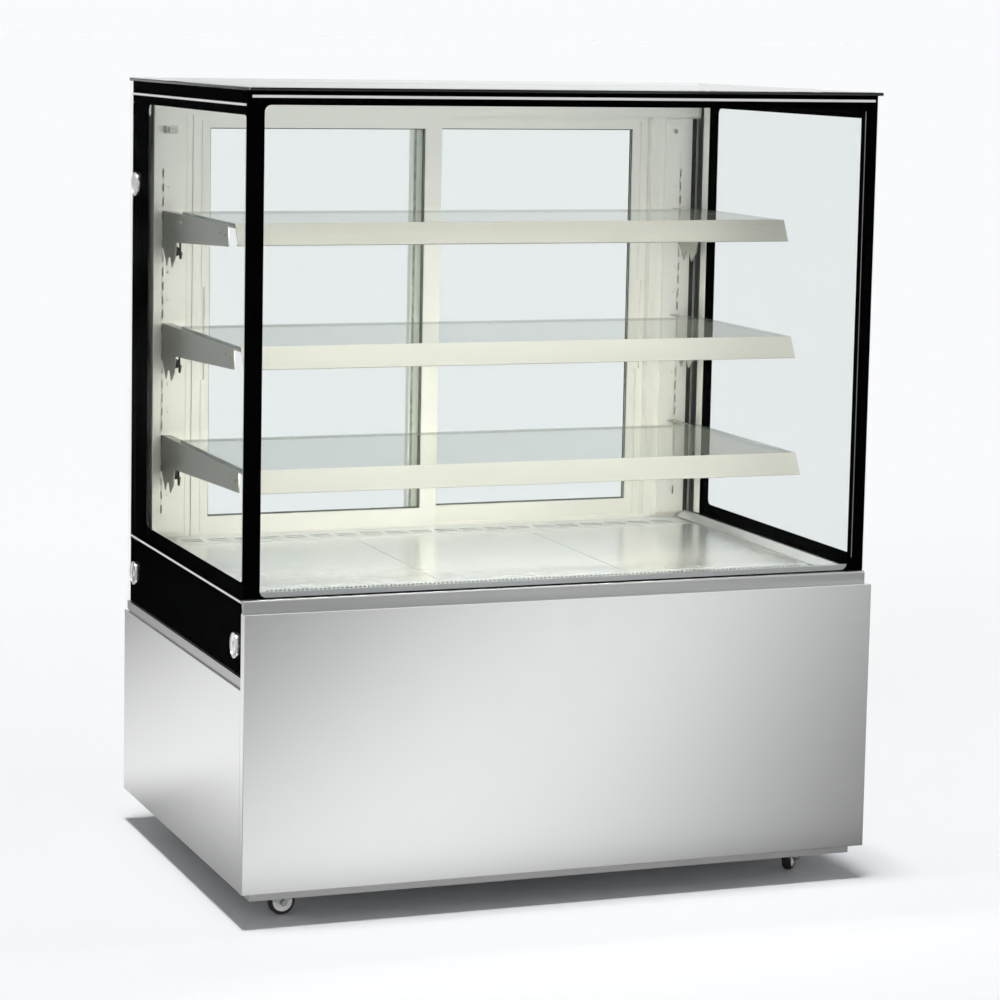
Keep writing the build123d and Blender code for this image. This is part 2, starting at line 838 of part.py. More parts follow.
def make_condenser():
    x0 = condenser_x - condenser_width / 2
    y0 = condenser_back_y - condenser_thickness
    step = (condenser_width - fin_sheet) / (condenser_fin_count - 1)
    z0 = condenser_bottom_z
    coil = None
    for i in range(condenser_fin_count):
        fin = block(x0 + i * step, x0 + i * step + fin_sheet, y0, condenser_back_y, z0, z0 + condenser_height)
        coil = fin if coil is None else coil + fin
    x1 = x0 + condenser_width
    out = condenser_tube_overhang
    for level in range(condenser_tube_levels):
        for row in range(2):
            y = y0 + condenser_thickness * (row + 0.5) / 2
            z = z0 + condenser_height * (level + 0.5) / condenser_tube_levels
            coil += rod((x0 - out, y, z), (x1 + out, y, z), tube_diameter)
    margin_y, margin_z = condenser_header_margin
    for x in (x0 - out - condenser_header, x1 + out):
        coil += block(x, x + condenser_header, y0 + margin_y, condenser_back_y - margin_y, z0 + margin_z,
                      z0 + condenser_height - margin_z)
    for x in (x0, x1 - condenser_foot):
        coil += block(x, x + condenser_foot, y0, condenser_back_y, tray_top, z0 + condenser_height)
    return coil


def make_compressor():
    foot_diameter, foot_height = compressor_foot
    feet_z = tray_top + foot_height
    shell_z = feet_z + compressor_base
    cx, cy = compressor_x, compressor_y
    w, d = compressor_width, compressor_depth
    margin_x, margin_y = compressor_base_margin
    shell = Pos(cx, cy, shell_z) * extrude(RectangleRounded(w, d, d / 2 - 1), compressor_height)
    base = RectangleRounded(w + 2 * margin_x, d + 2 * margin_y, margin_x)
    shell += Pos(cx, cy, feet_z) * extrude(base, compressor_base)
    box_depth, box_width, box_height = terminal_box
    box_x = cx + w / 2 - terminal_box_bite
    shell += block(box_x, box_x + box_depth, cy - box_width / 2, cy + box_width / 2,
                   feet_z + terminal_box_lift, feet_z + terminal_box_lift + box_height)
    for side in (-1, 1):
        shell += disc((cx, cy + side * stub_offset, shell_z + compressor_height), (0, 0, 1), *stub_size)
    for side_x in (-1, 1):
        for side_y in (-1, 1):
            x = cx + side_x * (w / 2 + compressor_foot_offset[0])
            y = cy + side_y * (d / 2 - compressor_foot_offset[1])
            shell += disc((x, y, tray_top), (0, 0, 1), foot_diameter, foot_height)
    return shell


def tube(points, radius, diameter):
    """A bent pipe along straight runs joined by arcs."""
    path = FilletPolyline(*points, radius=radius)
    start = Vector(*points[0])
    heading = Vector(*points[1]) - start
    section = Plane(origin=start, z_dir=heading) * Circle(diameter / 2)
    return sweep(section, path=path)


def make_pipes():
    stub_z = tray_top + compressor_foot[1] + compressor_base + compressor_height + stub_size[1]
    level = stub_z + pipe_rise
    x_header = condenser_x - condenser_width / 2 - condenser_tube_overhang - condenser_header
    y_header = condenser_back_y - condenser_thickness / 2
    z_high = condenser_bottom_z + condenser_height - header_ports[0]
    z_low = condenser_bottom_z + header_ports[1]
    y_out = compressor_y + stub_offset
    y_in = compressor_y - stub_offset
    x_drop = x_header - discharge_offset
    discharge = tube([(compressor_x, y_out, stub_z), (compressor_x, y_out, level),
                      (compressor_x, y_header, level), (x_drop, y_header, level),
                      (x_drop, y_header, z_high), (x_header, y_header, z_high)],
                     pipe_bend, discharge_pipe)
    coil_z = tub_floor_top + coil_lift + coil_height / 2
    coil_x = coil_width / 2 + coil_tube_overhang + coil_header
    x_suction = suction_x + suction_place
    suction = tube([(compressor_x, y_in, stub_z), (compressor_x, y_in, level), (x_suction, y_in, level),
                    (x_suction, suction_y, level), (x_suction, suction_y, coil_z), (coil_x, suction_y, coil_z)],
                   pipe_bend, suction_pipe)
    x_drier = x_header - drier_offset[0]
    y_drier = y_header - drier_offset[1]
    liquid = tube([(x_header, y_header, z_low), (x_drier, y_header, z_low), (x_drier, y_drier, z_low)],
                  pipe_bend, liquid_pipe)
    drier = disc((x_drier, y_drier, z_low), (0, -1, 0), *drier_size)
    beside, forward, below, under = capillary_place
    x_cap = suction_x - beside
    y_cap = suction_y - forward
    y_turn = y_drier - drier_size[1] - drier_lead
    capillary = tube([(x_drier, y_drier - drier_size[1], z_low), (x_drier, y_turn, z_low),
                      (x_cap, y_turn, z_low), (x_cap, y_turn, tub_bottom - under),
                      (x_cap, y_cap, tub_bottom - under),
                      (x_cap, y_cap, coil_z - below), (coil_x, y_cap, coil_z - below)],
                     capillary_bend, capillary_pipe)
    return group([discharge, suction, liquid, drier, capillary])


def make_condensate_tray():
    half = tray_half_width
    wall = tray_wall
    front, back = drain_y - tray_front, drain_y + tray_back
    tray = block(-half, half, front, back, tray_top, tray_top + tray_height)
    tray -= block(-half + wall, half - wall, front + wall, back - wall, tray_top + wall,
                  tray_top + tray_height + 1)
    hose_z = tray_top + drain_dip
    length = tub_floor_top - hose_z
    hose = disc((0, drain_y, hose_z), (0, 0, 1), drain_pipe_diameter, length)
    hose -= disc((0, drain_y, hose_z - 1), (0, 0, 1), drain_pipe_diameter - 2 * drain_pipe_wall, length + 2)
    return group([tray, hose])


def make_control_box():
    x0, x1 = control_box_x
    y0, y1 = control_box_y
    top = tray_top + control_box_height
    floor = tray_top + sheet
    shell = block(x0, x1, y0, y1, tray_top, top)
    inside = block(x0 + sheet, x1 - sheet, y0 + sheet, y1 - sheet, floor, top - sheet)
    pieces = [shell - inside]
    for low_x, high_x, low_y, high_y, height in (contactor, transformer):
        pieces.append(block(low_x, high_x, low_y, high_y, floor, tray_top + height))
    return group(pieces)


# Ledge trims, deck and grilles


def make_ledge_trims():
    front = front_y + front_panel_depth
    top = front_glass_bottom
    outline = [(front, ledge_low), (front + ledge_leg, ledge_low), (front + ledge_leg, tub_top),
               (front_inner_in, tub_top), (front_inner_in, top), (front, top)]
    bar = prism_x(outline, -side_glass_x, side_glass_x)
    for side in (-1, 1):
        bar -= block(side * (enamel_in - face_gap), side * case_width, front_pane_in, back_y,
                     ledge_low - 1, top + 1)
    nose = bar.edges().filter_by(Axis.X).filter_by_position(Axis.Z, top - 0.1, top + 0.1)
    bar = fillet(nose.sort_by(Axis.Y)[0], ledge_corner * 0.99)
    start = front_y + front_panel_depth + face_gap
    z0 = side_panel_top
    z1 = side_glass_bottom
    x0 = -side_glass_x
    x1 = -tub_half
    side = block(x0, x1, start, side_glass_back, z0, z1)
    side -= block(x0 - 1, x0 + side_ledge_groove, start - 1, back_y, z0 - 1, z0 + side_ledge_groove)
    return group([bar] + both(side))


def make_deck_pans():
    width = 2 * deck_half_width
    each = (width - (deck_count - 1) * deck_gap) / deck_count
    pieces = []
    for i in range(deck_count):
        x0 = -deck_half_width + i * (each + deck_gap)
        x1 = x0 + each
        skin = block(x0, x1, deck_front_y, deck_back_y, deck_top - deck_sheet, deck_top)
        down = tub_top
        skin += block(x0, x1, deck_front_y, deck_front_y + deck_sheet, down, deck_top)
        skin += block(x0, x1, deck_back_y - deck_sheet, deck_back_y, down, deck_top)
        skin += block(x0, x0 + deck_sheet, deck_front_y, deck_back_y, down, deck_top)
        skin += block(x1 - deck_sheet, x1, deck_front_y, deck_back_y, down, deck_top)
        pieces.append(skin)
    x_in = inner_pane_in - face_gap
    trim_back = upright_front_y - side_trim_gap
    y0 = front_inner_in + face_gap
    trim_top = tub_top + side_trim_height
    outline = [(x_in, tub_top), (x_in, trim_top), (x_in - side_trim_top, trim_top),
               (x_in - side_trim_width, tub_top + side_trim_toe), (x_in - side_trim_width, tub_top)]
    trim = prism_y(outline, y0, trim_back)
    return group(pieces + both(trim))


def make_air_grilles():
    y0 = front_inner_in + face_gap
    y1 = deck_front_y - grille_gap
    half = deck_half_width
    top = deck_top
    front = block(-half, half, y0, y1, top - deck_sheet, top)
    front += block(-half, half, y0, y0 + deck_sheet, tub_top, top)
    front += block(-half, half, y1 - deck_sheet, y1, tub_top, top)
    count = int(2 * (half - grille_margin) / grille_slot_pitch)
    cutters = []
    for i in range(count):
        x = (i - (count - 1) / 2) * grille_slot_pitch
        lean = grille_slant / 2
        w = grille_slot_width / 2
        low, high = grille_slots_y
        cutters.append(prism_z([(x - lean - w, low), (x - lean + w, low), (x + lean + w, high),
                                (x + lean - w, high)], top - deck_sheet - 1, top + 1))
    front = front.cut(*[s for c in cutters for s in c.solids()])
    y0 = back_grille_front_y
    y1 = rail_front_y - 2 * grille_gap
    back = block(-half, half, y0, y1, top - deck_sheet, top)
    back += block(-half, half, y0, y0 + deck_sheet, tub_top, top)
    back += block(-half, half, y1 - deck_sheet, y1, tub_top, top)
    rows = int(2 * (half - grille_margin) / back_grille_pitch)
    holes = []
    for i in range(rows):
        x = (i - (rows - 1) / 2) * back_grille_pitch
        for row in back_grille_rows:
            y = y0 + row
            holes.append(block(x - back_grille_slot / 2, x + back_grille_slot / 2, y, y + back_grille_height,
                               top - deck_sheet - 1, top + 1))
    back = back.cut(*[s for h in holes for s in h.solids()])
    return group([front, back])


# Glass


def window_frame_xz(x0, x1, z0, z1, wx0, wx1, wz0, wz1, y0, y1):
    """An enamel frame across Y with a window that has round corners."""
    frame = block(x0, x1, y0, y1, z0, z1)
    window = RectangleRounded(wx1 - wx0, wz1 - wz0, window_corner)
    plane = Plane(origin=((wx0 + wx1) / 2, y0 - 1, (wz0 + wz1) / 2), x_dir=(1, 0, 0), z_dir=(0, 1, 0))
    return frame - extrude(plane * window, y1 - y0 + 2)


def window_frame_yz(y0, y1, z0, z1, wy0, wy1, wz0, wz1, x0, x1):
    """An enamel frame across X with a window that has round corners."""
    frame = block(x0, x1, y0, y1, z0, z1)
    window = RectangleRounded(wy1 - wy0, wz1 - wz0, window_corner)
    plane = Plane(origin=(x0 - 1, (wy0 + wy1) / 2, (wz0 + wz1) / 2), x_dir=(0, 1, 0), z_dir=(1, 0, 0))
    return frame - extrude(plane * window, x1 - x0 + 2)


def make_glass_borders():
    front = window_frame_xz(-side_glass_x, side_glass_x, front_glass_bottom, pane_top,
                            -side_glass_x + front_window_side, side_glass_x - front_window_side,
                            front_glass_bottom + front_window_bottom, pane_top - front_window_top,
                            front_pane_in, front_enamel_in)
    side = window_frame_yz(front_enamel_in, side_glass_back, side_glass_bottom, pane_top,
                           front_enamel_in + side_window_front, side_glass_back - side_window_back,
                           side_window_bottom_z, pane_top - side_window_top_drop,
                           -side_pane_in, -enamel_in)
    side += side_glass_toe(-side_pane_in, -enamel_in)
    for y, z in cap_places:
        side -= disc((-side_pane_in - 1, y, z), (1, 0, 0), stud_diameter + 2 * stud_clearance, 4)
    x_top = half_width - top_overhang_side
    y0 = front_y + top_inset_front
    y1 = back_y - top_inset_back
    top = block(-x_top, x_top, y0, y1, pane_top, glass_top)
    top -= block(-x_top + top_border, x_top - top_border, y0 + top_border, y1 - top_border,
                 pane_top - 1, glass_top + 1)
    return group([front, top] + both(side))


def side_glass_toe(x0, x1):
    """The part of the side glass that reaches forward to the front panel, below the ledge."""
    toe_front = front_y + front_panel_depth + face_gap
    return block(x0, x1, toe_front, front_enamel_in, side_glass_bottom, ledge_low - face_gap)


def make_outer_side_glass():
    glass = block(-side_glass_x, -side_pane_in, front_enamel_in, side_glass_back, side_glass_bottom, pane_top)
    glass += side_glass_toe(-side_glass_x, -side_pane_in)
    for y, z in cap_places:
        glass -= disc((-side_glass_x - 1, y, z), (1, 0, 0), stud_diameter + 2 * stud_clearance, pane + 2)
    return glass


def make_front_glass():
    return block(-side_glass_x, side_glass_x, front_glass_y, front_pane_in, front_glass_bottom, pane_top)


def make_inner_glasses():
    front = block(-spacer_in, spacer_in, front_spacer_in, front_inner_in, front_glass_bottom, pane_top)
    side = block(-spacer_in, -inner_pane_in, front_inner_in + face_gap, rail_front_y - face_gap,
                 tub_top, pane_top)
    return group([front] + both(side))


def make_spacers():
    w = spacer_width
    front = block(-enamel_in, enamel_in, front_enamel_in, front_spacer_in, front_glass_bottom, pane_top)
    front -= block(-enamel_in + w, enamel_in - w, front_enamel_in - 1, front_spacer_in + 1,
                   front_glass_bottom + w, pane_top - w)
    y0 = front_inner_in + face_gap
    y1 = rail_front_y - face_gap
    side = block(-enamel_in, -spacer_in, y0, y1, tub_top, pane_top)
    side -= block(-enamel_in - 1, -spacer_in + 1, y0 + w, y1 - w, tub_top + w, pane_top - w)
    return group([front] + both(side))


def make_top_glass():
    x_top = half_width - top_overhang_side
    y0 = front_y + top_inset_front
    y1 = back_y - top_inset_back
    plate = block(-x_top, x_top, y0, y1, glass_top, case_height)
    return chamfer(plate.edges().filter_by_position(Axis.Z, case_height - 0.1, case_height + 0.1), 0.8)


def make_caps():
    caps = []
    thick = side_glass_inset
    for y, z in cap_places:
        cap = disc((-half_width, y, z), (1, 0, 0), cap_diameter, thick)
        rim = cap.edges().filter_by(GeomType.CIRCLE).sort_by(Axis.X)[0]
        cap = fillet(rim, cap_edge)
        stud = disc((-half_width + thick - 0.5, y, z), (1, 0, 0), stud_diameter, pane + enamel + 0.5)
        caps += both(cap + stud)
    return group(caps)


# Rear frame and doors


def make_header():
    x = enamel_in
    y0 = rail_front_y
    y1 = y0 + rail_depth
    bar = block(-x, x, y0, y1, header_bottom, pane_top)
    first = y0 + header_wall
    second = first + channel_width + header_rib
    for y in (first, second):
        bar -= block(-x - 1, x + 1, y, y + channel_width, header_bottom - 1, header_bottom + header_lip_drop)
    bar -= block(-x - 1, x + 1, y0 + header_wall, y1 - header_wall,
                 header_bottom + header_lip_drop + header_wall, pane_top - header_wall)
    return bar


def make_track():
    x = enamel_in
    y0 = rail_front_y
    y1 = y0 + rail_depth
    plate = block(-x, x, y0, y1, tub_top, tub_top + track_plate)
    for y in (door_front_y, door_rear_y):
        middle = y + door_thickness / 2
        plate += block(-door_opening_half, door_opening_half, middle - track_rib_width / 2,
                       middle + track_rib_width / 2, tub_top + track_plate,
                       tub_top + track_plate + track_rib_height)
    return plate


def make_jambs():
    x0 = -enamel_in
    x1 = -door_opening_half
    z0 = tub_top + track_plate
    z1 = header_bottom
    y1 = rail_front_y + rail_depth
    post = block(x0, x1, jamb_front_y, y1, z0, z1)
    middle = (x0 + x1) / 2
    for a, b in ((x0 + jamb_wall, middle - jamb_wall / 2), (middle + jamb_wall / 2, x1 - jamb_wall)):
        post -= block(a, b, jamb_front_y + jamb_wall, y1 - jamb_wall, z0 - 1, z1 + 1)
    far, near = jamb_groove
    post -= block(x1 - far, x1 - near, jamb_front_y - 1, jamb_front_y + jamb_groove_depth, z0 - 1, z1 + 1)
    return group(both(post))


def slot_z(index):
    """Height of the middle of one slot in the uprights."""
    return slot_first_z + index * slot_pitch


def shelf_under(index):
    """Height of the underside of one shelf's glass."""
    return slot_z(shelf_slots[index]) + hook_drop


def make_uprights():
    middle = slot_column - slot_offset
    x0 = middle - upright_width / 2
    x1 = middle + upright_width / 2
    y0 = upright_front_y
    face = block(x0, x1, y0, y0 + upright_sheet, upright_bottom_z, upright_top_z)
    face += block(x0, x0 + upright_sheet, y0, jamb_front_y, upright_bottom_z, upright_top_z)
    face += block(x1 - upright_sheet, x1, y0, jamb_front_y, upright_bottom_z, upright_top_z)
    cutters = []
    for i in range(slot_count):
        z = slot_z(i)
        cutters.append(block(slot_column - slot_width / 2, slot_column + slot_width / 2, y0 - 1,
                             y0 + upright_sheet + 1, z - slot_height / 2, z + slot_height / 2))
        if i % 2 == 1:
            cutters.append(disc((pin_hole_column, y0 - 1, z), (0, 1, 0), pin_hole_diameter, 4))
    cutters.append(disc((middle - lead_hole_offset, y0 - 1, upright_top_z - lead_hole_drop), (0, 1, 0),
                        lead_hole_diameter, 4))
    face = face.cut(*[s for c in cutters for s in c.solids()])
    return group(both(face))


def make_door(x0, y0, pull_x):
    """One sliding door: two stiles, two rails and two glides, and its pane."""
    x1 = x0 + door_width
    y1 = y0 + door_thickness
    z0 = door_bottom
    z1 = door_top
    middle = (y0 + y1) / 2
    stile_low = block(x0, x0 + stile_width, y0, y1, z0, z1)
    stile_high = block(x1 - stile_width, x1, y0, y1, z0, z1)
    bottom = block(x0 + stile_width, x1 - stile_width, y0, y1, z0, z0 + door_rail_height)
    top = block(x0 + stile_width, x1 - stile_width, y0, y1, z1 - door_rail_height, z1)
    rib_top = tub_top + track_plate + track_rib_height
    groove_half = track_rib_width / 2 + groove_clearance
    groove = block(x0 - 1, x1 + 1, middle - groove_half, middle + groove_half, z0 - 1,
                   rib_top + groove_top_gap)
    pieces = []
    for piece in (stile_low, stile_high, bottom, top):
        pieces.append(piece - groove)
    pull = block(pull_x - pull_width / 2, pull_x + pull_width / 2, y1 - pull_depth, y1 + 1,
                 pull_z - pull_height / 2, pull_z + pull_height / 2)
    finger = block(pull_x - pull_width / 2, pull_x + pull_width / 2, y0 - 1, y0 + pull_depth,
                   pull_z - pull_height / 2, pull_z + pull_height / 2)
    low_end, high_end = stile_line_ends
    line = block(pull_x - stile_line / 2, pull_x + stile_line / 2, y0 - 1, y0 + stile_line,
                 z0 + low_end, z1 - high_end)
    pieces = [piece - pull - finger - line for piece in pieces]
    glides = []
    for x in (x0 + stile_width + glide_margin, x1 - stile_width - glide_margin - glide_length):
        glides.append(block(x, x + glide_length, middle - groove_half, middle + groove_half,
                            rib_top + glide_gap, rib_top + groove_top_gap))
    inset = door_glass_bite
    glass = block(x0 + stile_width - inset, x1 - stile_width + inset, middle - door_glass / 2,
                  middle + door_glass / 2, z0 + door_rail_height - inset, z1 - door_rail_height + inset)
    framed = [piece - glass for piece in pieces]
    return group(framed + glides), glass


def left_door_x():
    return -door_opening_half + door_side_gap


def right_door_x():
    return door_opening_half - door_side_gap - door_width


# Shelves


def make_shelf_glass(index):
    z = shelf_under(index)
    front = shelf_fronts[index]
    plate = block(-shelf_half_width, shelf_half_width, front + rail_clear, shelf_back_y, z, z + shelf_glass)
    return chamfer(plate.edges().filter_by_position(Axis.Z, z + shelf_glass - 0.1, z + shelf_glass + 0.1),
                   glass_edge_break)


def bar_between(p, q, thickness):
    """Corner points of a straight sheet section on the far side of the line from p to q."""
    dy, dz = q[0] - p[0], q[1] - p[1]
    length = (dy * dy + dz * dz) ** 0.5
    ny, nz = -dz / length * thickness, dy / length * thickness
    return [p, q, (q[0] + ny, q[1] + nz), (p[0] + ny, p[1] + nz)]


def make_shelf_rail(index):
    z = shelf_under(index)
    y = shelf_fronts[index]
    top_z = z + shelf_glass
    toe = (y - rail_lean, top_z - rail_height)
    face = prism_x(bar_between((y, top_z), toe, rail_sheet), -rail_half_width, rail_half_width)
    flange_top = z - bracket_sheet
    flange_start = y - rail_lean * (shelf_glass + bracket_sheet) / rail_height
    flange = block(-rail_half_width, rail_half_width, flange_start, y + rail_flange,
                   flange_top - rail_sheet, flange_top)
    lip = block(-rail_half_width, rail_half_width, toe[0] - rail_nose, toe[0] + rail_return,
                toe[1] - rail_sheet, toe[1])
    return face + flange + lip


def make_bracket(index):
    """The left bracket of one shelf, with its hooks and its screws."""
    z = shelf_under(index)
    y_front = shelf_fronts[index] + arm_front_gap
    y_back = upright_front_y
    x0 = -slot_column
    x1 = x0 + bracket_sheet
    steps = [arm_back_y + step for step in cheek_steps]
    end_low, end_high = cheek_end
    outline = [(y_front, z), (y_front - arm_front_slope, z - arm_height_front),
               (arm_back_y, z - arm_height_back), (steps[0], z - cheek_notch),
               (steps[1], z - cheek_depth), (steps[2], z - cheek_notch), (steps[3], z - cheek_notch),
               (steps[4], z - cheek_depth), (y_back - cheek_back_step, z - end_low),
               (y_back, z - end_high), (y_back, z)]
    web = prism_x(outline, x0, x1)
    flange = block(x0, x0 + bracket_flange, shelf_fronts[index] + flange_end_gap, y_back - flange_end_gap,
                   z - bracket_sheet, z)
    body = web + flange
    hook_mid = x0 + bracket_sheet / 2
    for level in hook_levels:
        zc = z - hook_drop - level * slot_pitch
        half = hook_thickness / 2
        tab = block(hook_mid - half, hook_mid + half, y_back - 1, y_back + hook_depth,
                    zc - hook_height / 2, zc + hook_height / 2)
        fall = block(hook_mid - half, hook_mid + half, y_back + upright_sheet + 0.3, y_back + hook_depth,
                     zc - hook_height / 2 - hook_fall, zc + hook_height / 2)
        body += tab + fall
    pieces = [body]
    spots = [(y_front + along, drop) for along, drop in screw_places]
    spots.append((arm_back_y - back_screw[0], back_screw[1]))
    for y, drop in spots:
        head = disc((x0, y, z - drop), (-1, 0, 0), screw_diameter, screw_head)
        pieces.append(head)
    return pieces


def make_brackets():
    pieces = []
    for index in range(len(shelf_slots)):
        pieces += make_bracket(index)
    return group(pieces + [mirrored(piece) for piece in pieces])


def make_led_lamps():
    lamps = []
    w, h = led_size
    for index in range(len(shelf_slots)):
        z = shelf_under(index) - bracket_sheet - rail_sheet
        y = shelf_fronts[index]
        lamps.append(block(-rail_half_width + led_margin, rail_half_width - led_margin, y + led_front_gap,
                           y + led_front_gap + w,
                           z - h, z))
    y = front_inner_in
    x = inner_pane_in - led_margin
    depth, height = top_led_size
    lamps.append(block(-x, x, y, y + depth, pane_top - height, pane_top))
    return group(lamps)


def make_led_leads():
    """On the left upright, a socket for each shelf's lamp, its lead and the clip on the bracket."""
    pieces = []
    x = -slot_column + bracket_sheet
    socket_x = -slot_column + socket_offset
    nose_diameter, nose_length = socket_nose
    clip_y = arm_back_y - lead_clip
    clip_half = lead_clip_length / 2
    clip_low, clip_high = lead_clip_drop
    for index in range(len(shelf_slots)):
        z = shelf_under(index)
        socket_z = z - socket_drop
        nose_y = upright_front_y - socket_length
        start_y = nose_y - nose_length
        plug = disc((socket_x, upright_front_y, socket_z), (0, -1, 0), socket_diameter, socket_length)
        plug += disc((socket_x, nose_y, socket_z), (0, -1, 0), nose_diameter, nose_length)
        clip = block(x, x + lead_clip, clip_y - clip_half, clip_y + clip_half, z - clip_low, z - clip_high)
        middle_x = x + lead_clip / 2
        lead = tube([(socket_x, start_y, socket_z), (socket_x, start_y - lead_straight, socket_z),
                     (middle_x, clip_y, socket_z - lead_sag), (middle_x, clip_y, z - clip_low)],
                    lead_bend, lead_diameter)
        pieces += [plug, clip, lead]
    return group(pieces)


# Controls


def make_controller():
    width, height = controller_size
    x0, x1 = controller_x - width / 2, controller_x + width / 2
    z0, z1 = controller_z - height / 2, controller_z + height / 2
    gap = face_gap
    body = block(x0 + gap, x1 - gap, back_y - controller_depth, back_y, z0 + gap, z1 - gap)
    low, high = display_window
    body -= block(x0 + low, x0 + high, back_y - display_depth, back_y + 1,
                  z0 + display_margin, z1 - display_margin)
    for x, z in key_places():
        half = key_size / 2 + key_clearance
        body -= block(x - half, x + half, back_y - key_well, back_y + 1, z - half, z + half)
        body -= disc((x, back_y - key_well - key_stem_length, z), (0, 1, 0),
                     key_stem + 2 * shaft_clearance, key_stem_length + 1)
    return body


def key_places():
    """Middle of each of the controller's four keys."""
    places = []
    for row in (-1, 1):
        for column in (-1, 1):
            x = controller_x + key_column + column * key_pitch / 2
            places.append((x, controller_z + row * key_pitch / 2))
    return places


def make_key(index):
    """A push key on a round stem that slides in the controller's body."""
    x, z = key_places()[index]
    half = key_size / 2
    bottom = back_y - key_well + key_travel + key_rest_gap
    outside = back_y - key_inset
    key = block(x - half, x + half, bottom, outside, z - half, z + half)
    key = chamfer(plane_face(key, Axis.Y, outside), key_break)
    return key + disc((x, bottom - key_stem_reach, z), (0, 1, 0), key_stem, key_stem_reach + 0.5)


def rocker_pivot(x):
    return (x, back_y - rocker_inset, switch_z)


def make_switch_housings():
    pieces = []
    width, height = switch_size
    for x in switch_x:
        x0, x1 = x - width / 2 + face_gap, x + width / 2 - face_gap
        z0, z1 = switch_z - height / 2 + face_gap, switch_z + height / 2 - face_gap
        body = block(x0, x1, back_y - switch_depth, back_y, z0, z1)
        px, py, pz = rocker_pivot(x)
        radius = rocker_radius + rocker_gap
        cavity = block(x0 + switch_wall, x1 - switch_wall, py - radius, back_y + 1, pz - radius, pz + radius)
        body -= cavity
        hole = rocker_pin_diameter + 2 * rocker_pin_clearance
        body -= disc((x0 - 1, py, pz), (1, 0, 0), hole, x1 - x0 + 2)
        pieces.append(body)
    return group(pieces)


def make_rocker(x):
    px, py, pz = rocker_pivot(x)
    width = switch_size[0] - 2 * face_gap - 2 * switch_wall - 2 * rocker_gap
    body = disc((px - width / 2, py, pz), (1, 0, 0), 2 * rocker_radius, width)
    reach = rocker_radius + rocker_reach
    proud = rocker_proud
    slope = sin(radians(rocker_angle)) * reach
    cut = [(py + proud, pz), (py + proud + slope, pz + reach), (py + 30, pz + reach), (py + 30, pz - reach),
           (py + proud + slope, pz - reach)]
    body -= prism_x(cut, px - width, px + width)
    pin_length = switch_size[0] - 2 * face_gap
    body += disc((px - pin_length / 2, py, pz), (1, 0, 0), rocker_pin_diameter, pin_length)
    return body.rotate(Axis((px, py, pz), (1, 0, 0)), rocker_angle)


def make_inlet():
    """Cable gland in the rear panel, bored for the mains lead."""
    nose = inlet_diameter - 2 * inlet_hole_margin - 2 * inlet_fit
    flange = inlet_diameter + 2 * inlet_flange_margin
    gland = disc((inlet_x, back_y - inlet_nose, inlet_z), (0, 1, 0), nose, inlet_nose)
    gland += disc((inlet_x, back_y - inlet_depth, inlet_z), (0, 1, 0), flange, inlet_depth - sheet)
    gland -= disc((inlet_x, back_y - inlet_depth - 1, inlet_z), (0, 1, 0), inlet_bore, inlet_depth + 2)
    return gland


# Castors


def turned(shape, index):
    """A castor's part turned about its swivel axis to its place under one corner."""
    x, y = castor_spots()[index]
    return Pos(x, y, 0) * Rot(Z=castor_turn[index]) * shape


def castor_spots():
    """Front left, front right, back left, back right."""
    return ((-castor_x, -castor_y), (castor_x, -castor_y), (-castor_x, castor_y), (castor_x, castor_y))


def make_castor_plates():
    pieces = []
    top = chassis_bottom
    for x, y in castor_spots():
        outline = RectangleRounded(*castor_plate, castor_plate_corner)
        plate = Pos(x, y, top - castor_plate_sheet) * extrude(outline, castor_plate_sheet)
        plate += disc((x, y, top - castor_plate_sheet - race_height), (0, 0, 1),
                      race_diameter - race_step, race_height)
        low = top - castor_plate_sheet - race_height - race_gap - fork_sheet - race_gap
        wider, head = kingpin_head
        plate += disc((x, y, low - head), (0, 0, 1), kingpin_diameter, top - low + 1.0)
        plate += disc((x, y, low - head), (0, 0, 1), kingpin_diameter + wider, head)
        for sx in (-1, 1):
            for sy in (-1, 1):
                bx = x + sx * (castor_plate[0] / 2 - bolt_inset)
                by = y + sy * (castor_plate[1] / 2 - bolt_inset)
                plate += disc((bx, by, top - castor_plate_sheet - bolt_head), (0, 0, 1),
                              bolt_diameter + bolt_head_margin, bolt_head)
        pieces.append(plate)
    return group(pieces)


def make_fork(index):
    """Fork with its axle: two cheeks under a swivel plate that trail the wheel."""
    top = chassis_bottom - castor_plate_sheet - race_height - race_gap
    cheek_in = wheel_width / 2 + fork_gap
    cheek_out = cheek_in + fork_sheet
    bridge = disc((0, 0, top - fork_sheet), (0, 0, 1), race_diameter, fork_sheet)
    behind, ahead = fork_bridge
    bridge += block(-behind, castor_trail + ahead, -cheek_out, cheek_out, top - fork_sheet, top)
    hole = kingpin_diameter + 2 * kingpin_clearance
    bridge -= disc((0, 0, top - fork_sheet - 1), (0, 0, 1), hole, fork_sheet + 2)
    shoulder, round_out, low = fork_nose
    outline = [(-fork_toe, top), (castor_trail + shoulder, top), (castor_trail + round_out, wheel_radius),
               (castor_trail, wheel_radius - low), (castor_trail - round_out, wheel_radius)]
    fork = bridge
    for side in (-1, 1):
        fork += prism_y(outline, side * cheek_in, side * cheek_out)
    end = cheek_out + axle_end + pedal_sheet
    axle = disc((castor_trail, -end, wheel_radius), (0, 1, 0), axle_diameter, 2 * end)
    for side in (-1, 1):
        fork -= disc((castor_trail, side * (cheek_in - 1), wheel_radius), (0, side, 0),
                     axle_diameter, fork_sheet + 2)
    nuts = []
    for side in (-1, 1):
        nuts.append(disc((castor_trail, side * end, wheel_radius), (0, side, 0),
                         axle_diameter + axle_nut[0], axle_nut[1]))
    axle = axle + nuts[0] + nuts[1]
    return group([turned(fork, index), turned(axle, index)])


